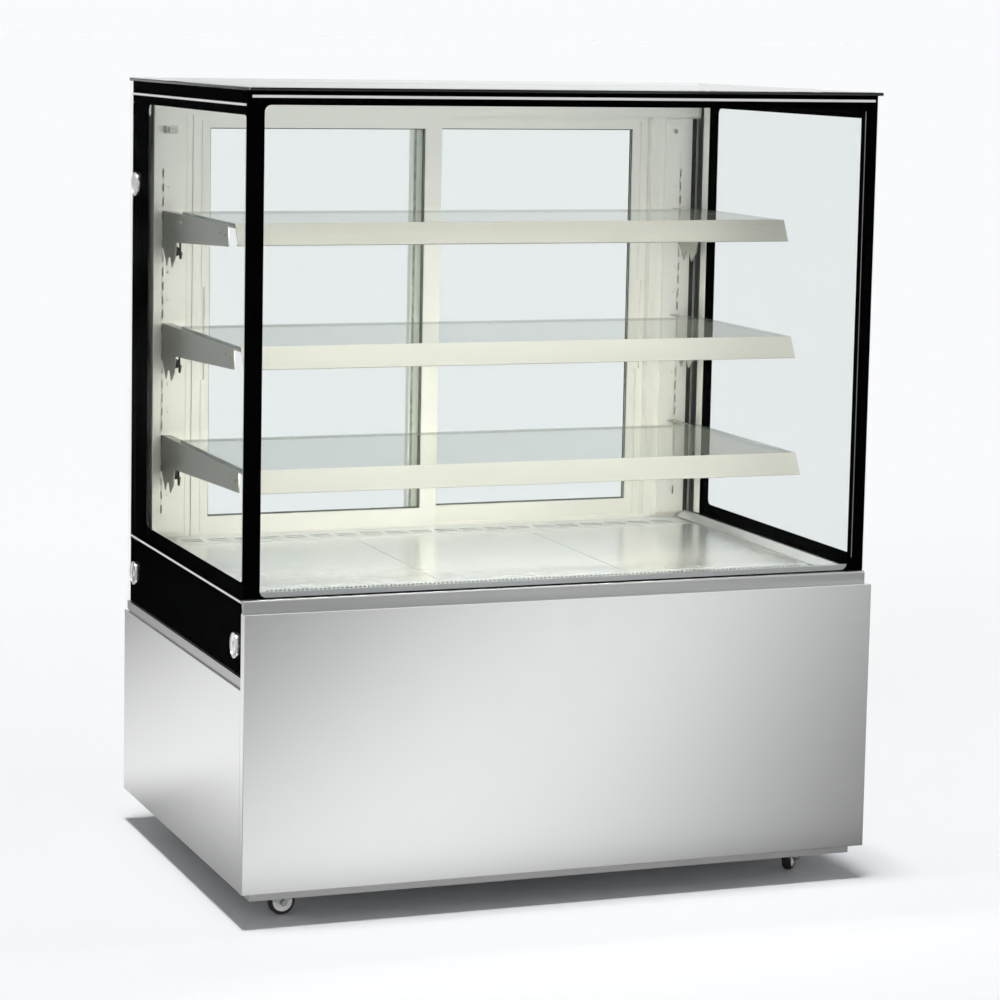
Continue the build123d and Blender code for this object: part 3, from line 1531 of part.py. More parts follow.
def make_wheel(index):
    centre = (castor_trail, -wheel_width / 2, wheel_radius)
    wheel = disc(centre, (0, 1, 0), wheel_diameter, wheel_width)
    wheel = fillet(wheel.edges().filter_by(GeomType.CIRCLE), wheel_shoulder)
    hub = wheel_diameter - 2 * tyre - hub_margin
    for side in (-1, 1):
        face = (castor_trail, side * wheel_width / 2, wheel_radius)
        ring = disc(face, (0, -side, 0), hub, hub_recess) - disc(face, (0, -side, 0), hub_boss, hub_recess)
        wheel -= ring
    wheel -= disc((castor_trail, -wheel_width, wheel_radius), (0, 1, 0), axle_diameter + 2 * axle_clearance,
                  2 * wheel_width)
    return turned(wheel, index)


def make_pedal(index):
    """Brake pedal: two ears on the axle that carry a foot plate behind the wheel."""
    cheek_out = wheel_width / 2 + fork_gap + fork_sheet
    ear_in = cheek_out + pedal_gap
    ear_out = ear_in + pedal_sheet
    reach = pedal_reach
    pieces = None
    for side in (-1, 1):
        ear = disc((0, side * ear_in, 0), (0, side, 0), pedal_eye, pedal_sheet)
        ear += block(0, reach, side * ear_in, side * ear_out, -pedal_arm, pedal_arm)
        ear -= disc((0, side * (ear_in - 1), 0), (0, side, 0), axle_diameter + 2 * axle_clearance,
                    pedal_sheet + 2)
        pieces = ear if pieces is None else pieces + ear
    pieces += block(reach - pedal_plate, reach, -ear_out, ear_out, pedal_arm - pedal_thickness, pedal_arm)
    pieces += block(reach - pedal_thickness, reach, -ear_out, ear_out, -pedal_arm / 2, pedal_arm)
    raised = Pos(castor_trail, 0, wheel_radius) * Rot(Y=-pedal_rest_angle) * pieces
    return turned(raised, index)


def build_nodes():
    """Every node of the case by its name."""
    nodes = {}
    nodes["chassis"] = make_chassis()
    nodes["plinth_skirt"] = make_skirt()
    nodes["front_panel"] = make_front_panel()
    side_panel = make_side_panel()
    nodes["side_panels"] = group(both(side_panel))
    nodes["rear_panels"] = make_rear_panels()
    nodes["ledge_trims"] = make_ledge_trims()
    nodes["insulated_tub"] = make_tub()
    nodes["deck_pans"] = make_deck_pans()
    nodes["air_grilles"] = make_air_grilles()
    nodes["evaporator_coil"] = make_evaporator()
    nodes["evaporator_fan_left"] = make_evap_fan(-evap_fan_x)
    nodes["evaporator_fan_right"] = make_evap_fan(evap_fan_x)
    nodes["condenser_fan"] = make_cond_fan()
    nodes["fan_motors"] = make_fan_motors()
    nodes["fan_shrouds"] = make_fan_shrouds()
    nodes["condenser_coil"] = make_condenser()
    nodes["compressor"] = make_compressor()
    nodes["refrigerant_pipes"] = make_pipes()
    nodes["condensate_tray"] = make_condensate_tray()
    nodes["control_box"] = make_control_box()
    nodes["controller"] = make_controller()
    for index, name in enumerate(("set", "up", "defrost", "down")):
        nodes["key_" + name] = make_key(index)
    nodes["switch_housings"] = make_switch_housings()
    nodes["power_rocker"] = make_rocker(switch_x[0])
    nodes["light_rocker"] = make_rocker(switch_x[1])
    nodes["power_inlet"] = make_inlet()
    nodes["top_glass"] = make_top_glass()
    nodes["front_outer_glass"] = make_front_glass()
    side_glass = make_outer_side_glass()
    nodes["side_outer_glasses"] = group(both(side_glass))
    nodes["inner_glasses"] = make_inner_glasses()
    nodes["glass_borders"] = make_glass_borders()
    nodes["glass_spacers"] = make_spacers()
    nodes["glass_caps"] = make_caps()
    nodes["rear_header"] = make_header()
    nodes["door_track"] = make_track()
    nodes["rear_jambs"] = make_jambs()
    nodes["shelf_uprights"] = make_uprights()
    left_pull = left_door_x() + stile_width / 2
    right_pull = right_door_x() + door_width - stile_width / 2
    nodes["left_door_frame"], nodes["left_door_glass"] = make_door(left_door_x(), door_front_y, left_pull)
    nodes["right_door_frame"], nodes["right_door_glass"] = make_door(right_door_x(), door_rear_y, right_pull)
    nodes["shelf_glasses"] = group([make_shelf_glass(i) for i in range(len(shelf_slots))])
    nodes["shelf_rails"] = group([make_shelf_rail(i) for i in range(len(shelf_slots))])
    nodes["shelf_brackets"] = make_brackets()
    nodes["led_lamps"] = make_led_lamps()
    nodes["led_leads"] = make_led_leads()
    nodes["castor_plates"] = make_castor_plates()
    corners = ("front_left", "front_right", "back_left", "back_right")
    for index, corner in enumerate(corners):
        nodes["castor_fork_" + corner] = make_fork(index)
        nodes["castor_wheel_" + corner] = make_wheel(index)
    for index, corner in enumerate(corners[:2]):
        nodes["brake_pedal_" + corner] = make_pedal(index)
    return nodes


def main():
    os.makedirs("parts", exist_ok=True)
    for name, shape in build_nodes().items():
        export_step(shape, "parts/" + name + ".step")


main()
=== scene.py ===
import json
import math

import bmesh
import bpy
from mathutils import Matrix, Vector

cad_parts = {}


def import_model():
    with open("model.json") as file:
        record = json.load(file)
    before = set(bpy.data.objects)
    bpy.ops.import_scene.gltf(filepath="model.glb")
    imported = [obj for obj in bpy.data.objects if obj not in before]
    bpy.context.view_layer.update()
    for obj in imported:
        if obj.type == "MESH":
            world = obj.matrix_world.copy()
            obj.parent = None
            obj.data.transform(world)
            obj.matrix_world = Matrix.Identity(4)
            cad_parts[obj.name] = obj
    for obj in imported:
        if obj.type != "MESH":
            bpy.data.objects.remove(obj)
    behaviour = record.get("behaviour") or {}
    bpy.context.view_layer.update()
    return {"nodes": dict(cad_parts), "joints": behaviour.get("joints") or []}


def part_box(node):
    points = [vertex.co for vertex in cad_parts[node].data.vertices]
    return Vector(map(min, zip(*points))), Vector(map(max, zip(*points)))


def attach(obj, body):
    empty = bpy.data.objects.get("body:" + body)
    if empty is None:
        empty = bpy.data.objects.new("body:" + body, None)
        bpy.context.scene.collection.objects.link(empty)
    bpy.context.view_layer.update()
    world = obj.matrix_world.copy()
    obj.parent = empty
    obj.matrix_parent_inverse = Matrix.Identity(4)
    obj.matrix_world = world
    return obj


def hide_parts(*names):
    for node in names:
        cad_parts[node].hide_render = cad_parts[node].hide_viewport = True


bl_info = {
    "name": "Cake display case",
    "version": (1, 0, 0),
    "blender": (4, 5, 0),
    "location": "3D View > Sidebar > Display case",
    "description": "Dresses the chilled glass display case with its trim, finishes, floor, lamps and camera",
    "category": "Object",
}

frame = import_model()


def shade(red, green, blue):
    """A screen colour from 0 to 255 as the linear colour that a shader takes."""
    values = []
    for part in (red, green, blue):
        part = part / 255
        values.append(part / 12.92 if part <= 0.04045 else ((part + 0.055) / 1.055) ** 2.4)
    return tuple(values)


# Settings


def colour_setting(name, description, colour):
    return bpy.props.FloatVectorProperty(name=name, description=description, subtype="COLOR", size=3, min=0.0,
                                         max=1.0, default=colour)


def length_setting(name, description, metres):
    return bpy.props.FloatProperty(name=name, description=description, default=metres, min=0.0, unit="LENGTH",
                                   subtype="DISTANCE", precision=4)


def level_setting(name, description, level, **limits):
    return bpy.props.FloatProperty(name=name, description=description, default=level, **limits)


def vector_setting(name, description, values, **kind):
    return bpy.props.FloatVectorProperty(name=name, description=description, default=values, **kind)


class StageSettings(bpy.types.PropertyGroup):
    backdrop: colour_setting("Backdrop", "Colour of the floor and of what lies behind the case",
                             shade(250, 251, 253))
    low_sky: level_setting("Low sky", "Light from low all round, which fills the fronts", 1.1, min=0.0)
    high_sky: level_setting("High sky", "Even light from higher up", 0.15, min=0.0)
    lamp: level_setting("Lamp", "Strength of the soft lamp above", 2.3, min=0.0)
    lamp_spread: level_setting("Lamp spread", "How wide the soft lamp looks", math.radians(7),
                               subtype="ANGLE")
    lamp_toward: vector_setting("Lamp direction", "Where the soft lamp hangs", (-0.045, -0.015, 1.0),
                                subtype="DIRECTION")
    band_width: length_setting("Band width", "Width of the light bands that the steel mirrors", 2.4)
    band_low: level_setting("Band shade", "How dark it gets between the light bands", 0.16, min=0.0, max=1.0)
    camera_place: vector_setting("Camera place", "Where the camera stands", (-2.129, -5.409, 1.553),
                                 subtype="TRANSLATION", unit="LENGTH")
    camera_turn: vector_setting("Camera turn", "Turn to the right, tilt down, roll",
                                tuple(math.radians(a) for a in (19.81, 6.82, 0.92)), unit="ROTATION")
    lens: level_setting("Lens", "Focal length of the camera in millimetres", 112.2, min=1.0)
    shift: vector_setting("Shift", "Shift of the camera's frame", (0.1, -0.1), size=2)


class FinishSettings(bpy.types.PropertyGroup):
    steel: colour_setting("Steel", "Satin stainless sheet of the base", shade(234, 235, 235))
    ledge_steel: colour_setting("Ledge steel", "Satin stainless of the ledges below the glass",
                                shade(186, 187, 187))
    skirt_paint: colour_setting("Skirt paint", "Grey paint of the skirt", shade(180, 180, 180))
    zinc: colour_setting("Zinc", "Zinc coat of the chassis", shade(176, 180, 183))
    deck_steel: colour_setting("Deck steel", "Stainless sheet of the deck", shade(226, 227, 226))
    inner_steel: colour_setting("Inner steel", "Warm stainless of the uprights and door frames",
                                shade(248, 246, 239))
    rail_steel: colour_setting("Rail steel", "Satin stainless of the shelf rails", shade(222, 220, 208))
    bracket_steel: colour_setting("Bracket steel", "Satin plate of the shelf brackets", shade(172, 172, 164))
    enamel: colour_setting("Enamel", "Black border printed on the glass", shade(4, 4, 5))
    stripe: colour_setting("Stripe", "White line printed near the glass edges", shade(236, 236, 236))
    glass: colour_setting("Glass", "Tint of the clear glass at each face", (0.974, 0.979, 0.978))
    door_glass: colour_setting("Door glass", "Tint of the door glass at each face", (0.958, 0.973, 0.966))
    lamp_glow: colour_setting("Lamp glow", "Warm white of the lamps", shade(255, 252, 244))
    rubber: colour_setting("Rubber", "Black of the tyres", shade(24, 24, 25))
    hub: colour_setting("Hub", "White plastic of the wheel hubs", shade(244, 244, 242))


class TrimSettings(bpy.types.PropertyGroup):
    stripe_width: length_setting("Front stripe width", "Width of the white line on the front glass", 0.0046)
    side_stripe_width: length_setting("Side stripe width", "Width of the white line on the side glass", 0.004)
    stripe_thickness: length_setting("Stripe thickness", "Thickness of the printed lines", 0.0003)
    seal: length_setting("Seal", "Width of the seals round the door glass", 0.002)
    tyre: length_setting("Tyre", "Thickness of the castors' tyres", 0.005)
    display_height: length_setting("Figure height", "Height of the figures on the display", 0.013)


# Shader building


class Wire:
    """A socket in a finish, so that shader maths reads as ordinary sums."""

    def __init__(self, finish, socket):
        self.finish = finish
        self.socket = socket

    def maths(self, operation, *values):
        return self.finish.node("ShaderNodeMath", {"operation": operation}, dict(enumerate(values)))

    def __add__(self, other):
        return self.maths("ADD", self, other)

    def __sub__(self, other):
        return self.maths("SUBTRACT", self, other)

    def __rsub__(self, other):
        return self.maths("SUBTRACT", other, self)

    def __mul__(self, other):
        return self.maths("MULTIPLY", self, other)

    def __rmul__(self, other):
        return self.maths("MULTIPLY", other, self)

    def __gt__(self, other):
        return self.maths("GREATER_THAN", self, other)

    def __lt__(self, other):
        return self.maths("LESS_THAN", self, other)


class Finish:
    """A procedural finish: a material, or the world, and the nodes in it."""

    def __init__(self, owner):
        owner.use_nodes = True
        self.owner = owner
        self.tree = owner.node_tree
        self.tree.nodes.clear()

    def node(self, kind, settings=None, inputs=None, output=0):
        """Adds one node: its settings first, then a value or a link for each socket that is named."""
        node = self.tree.nodes.new(kind)
        for key, value in (settings or {}).items():
            if key == "stops":
                ramp = node.color_ramp
                while len(ramp.elements) < len(value):
                    ramp.elements.new(0.5)
                for element, (place, level) in zip(ramp.elements, value):
                    element.position = place
                    element.color = (*level, 1.0) if isinstance(level, tuple) else (level, level, level, 1.0)
            else:
                setattr(node, key, value)
        for key, value in (inputs or {}).items():
            socket = node.inputs[key]
            if isinstance(value, Wire):
                self.tree.links.new(value.socket, socket)
            elif socket.type == "RGBA" and len(value) == 3:
                socket.default_value = (*value, 1.0)
            else:
                socket.default_value = value
        return Wire(self, node.outputs[output]) if len(node.outputs) else None

    def place(self):
        """The point on the piece, in metres."""
        return self.node("ShaderNodeTexCoord", output="Object")

    def axis(self, name):
        return self.node("ShaderNodeSeparateXYZ", inputs={0: self.place()}, output=name)

    def noise(self, size, stretch=(1.0, 1.0, 1.0), detail=3.0, roughness=0.5):
        """Soft noise from 0 to 1 whose patches are about the given size in metres, longer where stretched."""
        scale = tuple(1.0 / (size * part) for part in stretch)
        point = self.node("ShaderNodeMapping", inputs={"Vector": self.place(), "Scale": scale})
        return self.node("ShaderNodeTexNoise", inputs={"Vector": point, "Scale": 1.0, "Detail": detail,
                                                       "Roughness": roughness})

    def cells(self, size):
        """A grey level that changes from cell to cell."""
        point = self.node("ShaderNodeMapping", inputs={"Vector": self.place(), "Scale": (1 / size,) * 3})
        colour = self.node("ShaderNodeTexVoronoi", inputs={"Vector": point, "Scale": 1.0}, output="Color")
        return self.node("ShaderNodeSeparateColor", inputs={0: colour})

    def ramp(self, value, *stops):
        return self.node("ShaderNodeValToRGB", {"stops": stops}, {0: value})

    def mixed(self, share, first, second):
        """A colour between two colours."""
        settings = {"data_type": "RGBA", "clamp_factor": True}
        return self.node("ShaderNodeMix", settings, {0: share, 6: first, 7: second}, output=2)

    def span(self, value, start, end, first=0.0, last=1.0, kind="LINEAR"):
        """A level that goes from the first to the last between start and end, and stays there beyond."""
        settings = {"interpolation_type": kind, "clamp": True}
        return self.node("ShaderNodeMapRange", settings, {"Value": value, "From Min": start, "From Max": end,
                                                          "To Min": first, "To Max": last})

    def blend(self, share, first, second):
        """A shader between two shaders."""
        return self.node("ShaderNodeMixShader", inputs={0: share, 1: first, 2: second})

    def bump(self, height, depth, strength=1.0):
        return self.node("ShaderNodeBump", inputs={"Height": height, "Distance": depth, "Strength": strength},
                         output="Normal")

    def principled(self, **inputs):
        names = {key.replace("_", " "): value for key, value in inputs.items()}
        return self.node("ShaderNodeBsdfPrincipled", inputs=names)

    def surface(self, **inputs):
        return self.show(self.principled(**inputs))

    def show(self, shader):
        in_world = isinstance(self.owner, bpy.types.World)
        kind = "ShaderNodeOutputWorld" if in_world else "ShaderNodeOutputMaterial"
        self.node(kind, inputs={"Surface": shader})
        return self.owner


def tone(colour, factor):
    return tuple(min(1.0, part * factor) for part in colour)


def material(name):
    return Finish(bpy.data.materials.new(name))


BRUSHED_GRAIN = 0.0009


def grain_stretch(along):
    """How far the brushing lines run along each axis, in grains."""
    return tuple(160.0 if axis == along else 1.0 for axis in "XYZ")


def brushed_steel(name, colour, roughness=0.3, along="X", metallic=1.0, grain=BRUSHED_GRAIN, contrast=0.05,
                  wear=0.08):
    """Satin sheet: fine lines along one axis, faint clouding and wiped marks."""
    f = material(name)
    lines = f.noise(grain, grain_stretch(along), 2.0)
    cloud = f.noise(0.35, detail=2.0)
    marks = f.noise(0.05, detail=5.0, roughness=0.65)
    amount = lines * 0.45 + cloud * 0.4 + marks * 0.15
    base = f.mixed(amount, tone(colour, 1 - contrast), tone(colour, 1 + contrast))
    rough = (lines - 0.5) * wear + (marks - 0.5) * wear + roughness
    return f.surface(Base_Color=base, Metallic=metallic, Roughness=rough, Normal=f.bump(lines, 0.00001, 0.6))


def rail_finish(name, colour):
    """Satin rails with painted light and shade by height: the lower ones are painted lighter and the upper
    ones, close to the lamp, painted darker.
    """
    lowest, highest = 0.75, 1.2
    f = material(name)
    lines = f.noise(BRUSHED_GRAIN, grain_stretch("X"), 2.0)
    cloud = f.noise(0.25, detail=3.0)
    # Painted shade: the rail colour darkens from the lowest rail height to the highest
    height = f.span(f.axis("Z"), lowest, highest)
    shaded = f.ramp(height, (0.0, tone(colour, 1.06)), (0.5, tone(colour, 0.9)), (1.0, tone(colour, 0.42)))
    base = f.mixed(lines * 0.12 + cloud * 0.12, shaded, shade(255, 252, 240))
    rough = (lines - 0.5) * 0.08 + (cloud - 0.5) * 0.06 + 0.46
    return f.surface(Base_Color=base, Metallic=0.6, Roughness=rough, Normal=f.bump(lines, 0.00001, 0.6))


def coated_metal(name, colour, roughness=0.45, metallic=0.0, coat=0.0):
    """Painted or powder-coated sheet with a fine orange-peel surface and rubbed patches."""
    f = material(name)
    peel = f.noise(0.0022, detail=1.0)
    cloud = f.noise(0.14, detail=4.0)
    dust = f.noise(0.03, detail=6.0, roughness=0.7)
    base = f.mixed(cloud * 0.6 + dust * 0.4, tone(colour, 0.9), tone(colour, 1.1))
    rough = (dust - 0.5) * 0.2 + roughness
    return f.surface(Base_Color=base, Metallic=metallic, Roughness=rough, Coat_Weight=coat,
                     Normal=f.bump(peel, 0.00008, 0.5))


def spangled_zinc(name, colour):
    """Hot-dip zinc coat with its crystal flakes."""
    f = material(name)
    flakes = f.cells(0.009)
    haze = f.noise(0.05, detail=4.0)
    base = f.mixed(flakes * 0.7 + haze * 0.3, tone(colour, 0.78), tone(colour, 1.12))
    rough = flakes * 0.18 + haze * 0.1 + 0.3
    return f.surface(Base_Color=base, Metallic=0.9, Roughness=rough, Normal=f.bump(flakes, 0.00002, 0.5))


def moulded_plastic(name, colour, roughness=0.45, glow=0.0, texture=0.0006):
    """Moulded plastic with a spark-eroded texture and faint flow marks."""
    f = material(name)
    pits = f.noise(texture, detail=2.0)
    flow = f.noise(0.04, (1.0, 1.0, 3.0), 3.0)
    base = f.mixed(pits * 0.3 + flow * 0.7, tone(colour, 0.92), tone(colour, 1.08))
    rough = (pits - 0.5) * 0.16 + (flow - 0.5) * 0.08 + roughness
    inputs = {"Base_Color": base, "Roughness": rough, "Normal": f.bump(pits, 0.00004, 0.5)}
    if glow:
        inputs.update(Emission_Color=f.mixed(flow, tone(colour, 0.9), colour), Emission_Strength=glow)
    return f.surface(**inputs)


def soft_rubber(name, colour):
    """Matt rubber with dusty, scuffed patches."""
    f = material(name)
    scuff = f.noise(0.012, detail=6.0, roughness=0.7)
    skin = f.noise(0.0008, detail=2.0)
    base = f.mixed(f.ramp(scuff, (0.4, 0.0), (0.75, 1.0)), colour, tone(colour, 2.6))
    rough = scuff * 0.25 + 0.55
    return f.surface(Base_Color=base, Roughness=rough, Normal=f.bump(skin, 0.00006, 0.6))


def clear_pane(name, tint, mirror, haze=0.0):
    """Clear glass that lets light straight through, with a faint haze and a mirror sheen at low angles."""
    f = material(name)
    wiped = f.noise(0.09, (1.0, 1.0, 2.5), 5.0, 0.6)
    inside = f.node("ShaderNodeNewGeometry", output="Backfacing")
    glance = f.node("ShaderNodeFresnel", inputs={"IOR": 1.5})
    share = (glance - 0.04) * (1 - inside) * mirror + wiped * haze
    clear = f.node("ShaderNodeBsdfTransparent", inputs={"Color": tint})
    sheen = f.principled(Base_Color=tone(tint, 0.96), Roughness=wiped * 0.06 + 0.02, Metallic=1.0)
    return f.show(f.blend(share, clear, sheen))


def edge_glass(name, colour):
    """Polished glass edge: deeper in colour than the face, and glossy."""
    f = material(name)
    wave = f.noise(0.02, detail=3.0)
    base = f.mixed(wave, tone(colour, 0.85), tone(colour, 1.15))
    return f.surface(Base_Color=base, Roughness=wave * 0.1 + 0.08, Coat_Weight=0.4)


def fired_enamel(name, colour):
    """Black enamel fired on the glass, with a trace of unevenness."""
    f = material(name)
    cloud = f.noise(0.08, detail=4.0)
    specks = f.noise(0.002, detail=2.0)
    base = f.mixed(cloud, tone(colour, 0.6), tone(colour, 1.4))
    rough = specks * 0.1 + cloud * 0.1 + 0.35
    return f.surface(Base_Color=base, Roughness=rough, Specular_IOR_Level=0.0,
                     Normal=f.bump(specks, 0.00001, 0.3))


def glowing_lens(name, colour, strength, dim_above):
    """Frosted lamp lens with its soft dots of light. The lamp above the given height is dimmer."""
    f = material(name)
    dots = f.noise(0.012, (1.6, 1.0, 1.0), 1.0)
    base = f.mixed(dots, tone(colour, 0.92), colour)
    glow = f.mixed(f.axis("Z") > dim_above, base, tone(colour, 0.5))
    return f.surface(Base_Color=base, Roughness=dots * 0.1 + 0.4, Emission_Color=glow,
                     Emission_Strength=strength)


def aged_copper(name, colour):
    """Bare copper tube, darkened in patches."""
    f = material(name)
    patina = f.noise(0.018, detail=6.0, roughness=0.65)
    base = f.mixed(f.ramp(patina, (0.35, 0.0), (0.7, 1.0)), colour, shade(96, 62, 42))
    return f.surface(Base_Color=base, Metallic=1.0, Roughness=patina * 0.3 + 0.22,
                     Normal=f.bump(patina, 0.00005, 0.4))


def dress(finish, *nodes):
    """Gives one finish to CAD nodes."""
    for name in nodes:
        piece = frame["nodes"][name]
        if not piece.material_slots:
            piece.data.materials.append(finish)
        for slot in piece.material_slots:
            slot.material = finish


# Modelling


def free():
    """Object mode with nothing selected, ready for a new piece."""
    if bpy.context.mode != "OBJECT":
        bpy.ops.object.mode_set(mode="OBJECT")
    bpy.ops.object.select_all(action="DESELECT")


def choose(piece):
    """Object mode with one piece selected and active."""
    free()
    piece.select_set(True)
    bpy.context.view_layer.objects.active = piece


def settle(piece):
    """Moves a piece's place and turn into its mesh."""
    choose(piece)
    bpy.ops.object.transform_apply(location=True, rotation=True, scale=True)


def begin(name):
    """Names the primitive that was just added."""
    piece = bpy.context.object
    piece.name = name
    piece.data.name = name
    return piece


def pick_faces(piece, test):
    """Edit mode with only the faces selected that pass the test on their middle and normal."""
    bpy.ops.object.mode_set(mode="EDIT")
    bpy.ops.mesh.select_mode(type="FACE")
    bpy.ops.mesh.select_all(action="DESELECT")
    mesh = bmesh.from_edit_mesh(piece.data)
    for face in mesh.faces:
        face.select = bool(test(face.calc_center_median(), face.normal))
    mesh.select_flush_mode()
    bmesh.update_edit_mesh(piece.data)


def leave_edit():
    bpy.ops.object.mode_set(mode="OBJECT")


def rounded(piece, width, segments=2, angle=30.0):
    """Rounds the edges of a piece and smooths its shading."""
    choose(piece)
    bpy.ops.object.modifier_add(type="BEVEL")
    bevel = piece.modifiers[-1]
    bevel.width = width
    bevel.segments = segments
    bevel.limit_method = "ANGLE"
    bevel.angle_limit = math.radians(angle)
    bpy.ops.object.modifier_apply(modifier=bevel.name)
    bpy.ops.object.shade_smooth_by_angle(angle=math.radians(40))
    return piece


def bar(name, low, high, crown=0.0, face=None, edge=0.0):
    """A bar between two corners. The given face is inset and raised by the crown, and edges are rounded."""
    free()
    middle = [(a + b) / 2 for a, b in zip(low, high)]
    size = [b - a for a, b in zip(low, high)]
    bpy.ops.mesh.primitive_cube_add(size=1.0, location=middle, scale=size)
    piece = begin(name)
    settle(piece)
    if face:
        normal = Vector(face)
        pick_faces(piece, lambda middle, direction: direction.dot(normal) > 0.9)
        bpy.ops.mesh.inset(thickness=min(s for s in size if s > 0) * 0.25, depth=crown)
        leave_edit()
    if edge:
        rounded(piece, edge)
    return piece


def upright_to(axis):
    """The turn that lays a piece's upright axis along another one."""
    return Vector((0, 0, 1)).rotation_difference(Vector(axis)).to_euler()


def turned_part(name, radius, depth, place, axis, rings, edge=0.0, sides=48):
    """A round part from a short cylinder. Each ring insets one end face or both, and moves it in or out."""
    free()
    turn = upright_to(axis)
    bpy.ops.mesh.primitive_cylinder_add(vertices=sides, radius=radius, depth=depth, end_fill_type="NGON")
    piece = begin(name)
    for both_ends, inset, move in rings:
        pick_faces(piece, lambda middle, normal: abs(normal.z) > 0.9 and abs(middle.x) + abs(middle.y) < 1e-5
                   and (both_ends or normal.z > 0))
        bpy.ops.mesh.inset(thickness=inset, depth=0.0, use_individual=True)
        if move:
            bpy.ops.mesh.extrude_region_shrink_fatten(TRANSFORM_OT_shrink_fatten={"value": move})
        leave_edit()
    piece.location = place
    piece.rotation_euler = turn
    settle(piece)
    if edge:
        rounded(piece, edge)
    return piece


def ring_plate(name, x0, x1, z0, z1, y, width, thick, edge):
    """A flat rectangular ring that stands across Y, such as a seal round a pane."""
    free()
    bpy.ops.mesh.primitive_plane_add(size=1.0, location=((x0 + x1) / 2, y, (z0 + z1) / 2),
                                     rotation=(math.pi / 2, 0, 0))
    piece = begin(name)
    piece.scale = (x1 - x0, z1 - z0, 1.0)
    settle(piece)
    pick_faces(piece, lambda middle, normal: True)
    bpy.ops.mesh.inset(thickness=width, depth=0.0)
    bpy.ops.mesh.delete(type="FACE")
    leave_edit()
    bpy.ops.object.modifier_add(type="SOLIDIFY")
    wall = piece.modifiers[-1]
    wall.thickness = thick
    wall.offset = 0.0
    bpy.ops.object.modifier_apply(modifier=wall.name)
    return rounded(piece, edge)


def copies(piece, moves):
    """Copies of one piece, each moved and with its own mesh. The piece itself is taken away."""
    made = []
    for move in moves:
        choose(piece)
        bpy.ops.object.duplicate(linked=False)
        copy = bpy.context.object
        copy.location = move
        settle(copy)
        made.append(copy)
    choose(piece)
    bpy.ops.object.delete()
    return made


def mirrored(piece, name):
    """The piece's mirror image on the other side of the case, with its faces outwards."""
    choose(piece)
    bpy.ops.object.duplicate(linked=False)
    twin = begin(name)
    twin.scale = (-1, 1, 1)
    settle(twin)
    bpy.ops.object.mode_set(mode="EDIT")
    bpy.ops.mesh.select_all(action="SELECT")
    bpy.ops.mesh.normals_make_consistent(inside=False)
    leave_edit()
    return twin


def joined(name, pieces):
    """Several meshes as one piece."""
    free()
    for piece in pieces:
        piece.select_set(True)
    bpy.context.view_layer.objects.active = pieces[0]
    if len(pieces) > 1:
        bpy.ops.object.join()
    return begin(name)


def finish_piece(piece, finish, body="case"):
    """Gives a new piece its finish and the body it moves with."""
    piece.data.materials.clear()
    piece.data.materials.append(finish)
    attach(piece, body)
    return piece


def lettering(name, text, size, place, spin, depth):
    """Small figures as a thin solid that stands on a face."""
    free()
    bpy.ops.object.text_add()
    words = bpy.context.object
    words.data.body = text
    words.data.size = size
    words.data.align_x = "CENTER"
    words.data.align_y = "CENTER"
    words.data.extrude = depth
    words.data.resolution_u = 3
    bpy.ops.object.convert(target="MESH")
    piece = begin(name)
    piece.location = place
    piece.rotation_euler = spin
    settle(piece)
    return piece


def node_box(name):
    low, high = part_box(name)
    return Vector(low), Vector(high)


def loose_boxes(node):
    """The box of each separate solid in a CAD node, found in a merged copy of its mesh."""
    mesh = bmesh.new()
    mesh.from_mesh(frame["nodes"][node].data)
    bmesh.ops.remove_doubles(mesh, verts=mesh.verts, dist=1e-6)
    mesh.verts.ensure_lookup_table()
    boxes = []
    seen = set()
    for start in mesh.verts:
        if start.index in seen:
            continue
        seen.add(start.index)
        waiting = [start]
        points = []
        while waiting:
            vertex = waiting.pop()
            points.append(vertex.co.copy())
            for edge in vertex.link_edges:
                other = edge.other_vert(vertex)
                if other.index not in seen:
                    seen.add(other.index)
                    waiting.append(other)
        low = Vector(min(p[i] for p in points) for i in range(3))
        high = Vector(max(p[i] for p in points) for i in range(3))
        boxes.append((low, high))
    mesh.free()
    return boxes


def shelf_plates():
    """The three shelf glasses, top one first."""
    return sorted(loose_boxes("shelf_glasses"), key=lambda box: -box[0].z)


# The groups of pieces, each with its operator

BAND_TOWARD = (0.85, 0.527)  # direction across the light bands that the metal mirrors
FACING_BACK = (math.pi / 2, 0.0, math.pi)  # turn of a mark that is read from behind the case


def mirrored_ray(f):
    """One for what is seen straight in the metal, and nought for light on its way to a matt surface."""
    glossy = f.node("ShaderNodeLightPath", output="Is Glossy Ray")
    bounced = f.node("ShaderNodeLightPath", output="Diffuse Depth")
    return glossy * (bounced < 0.5)


def wave(across, rate):
    """A level that swings between nought and one across the light bands."""
    phase = across * rate
    return phase.maths("COSINE", phase) * 0.5 + 0.5


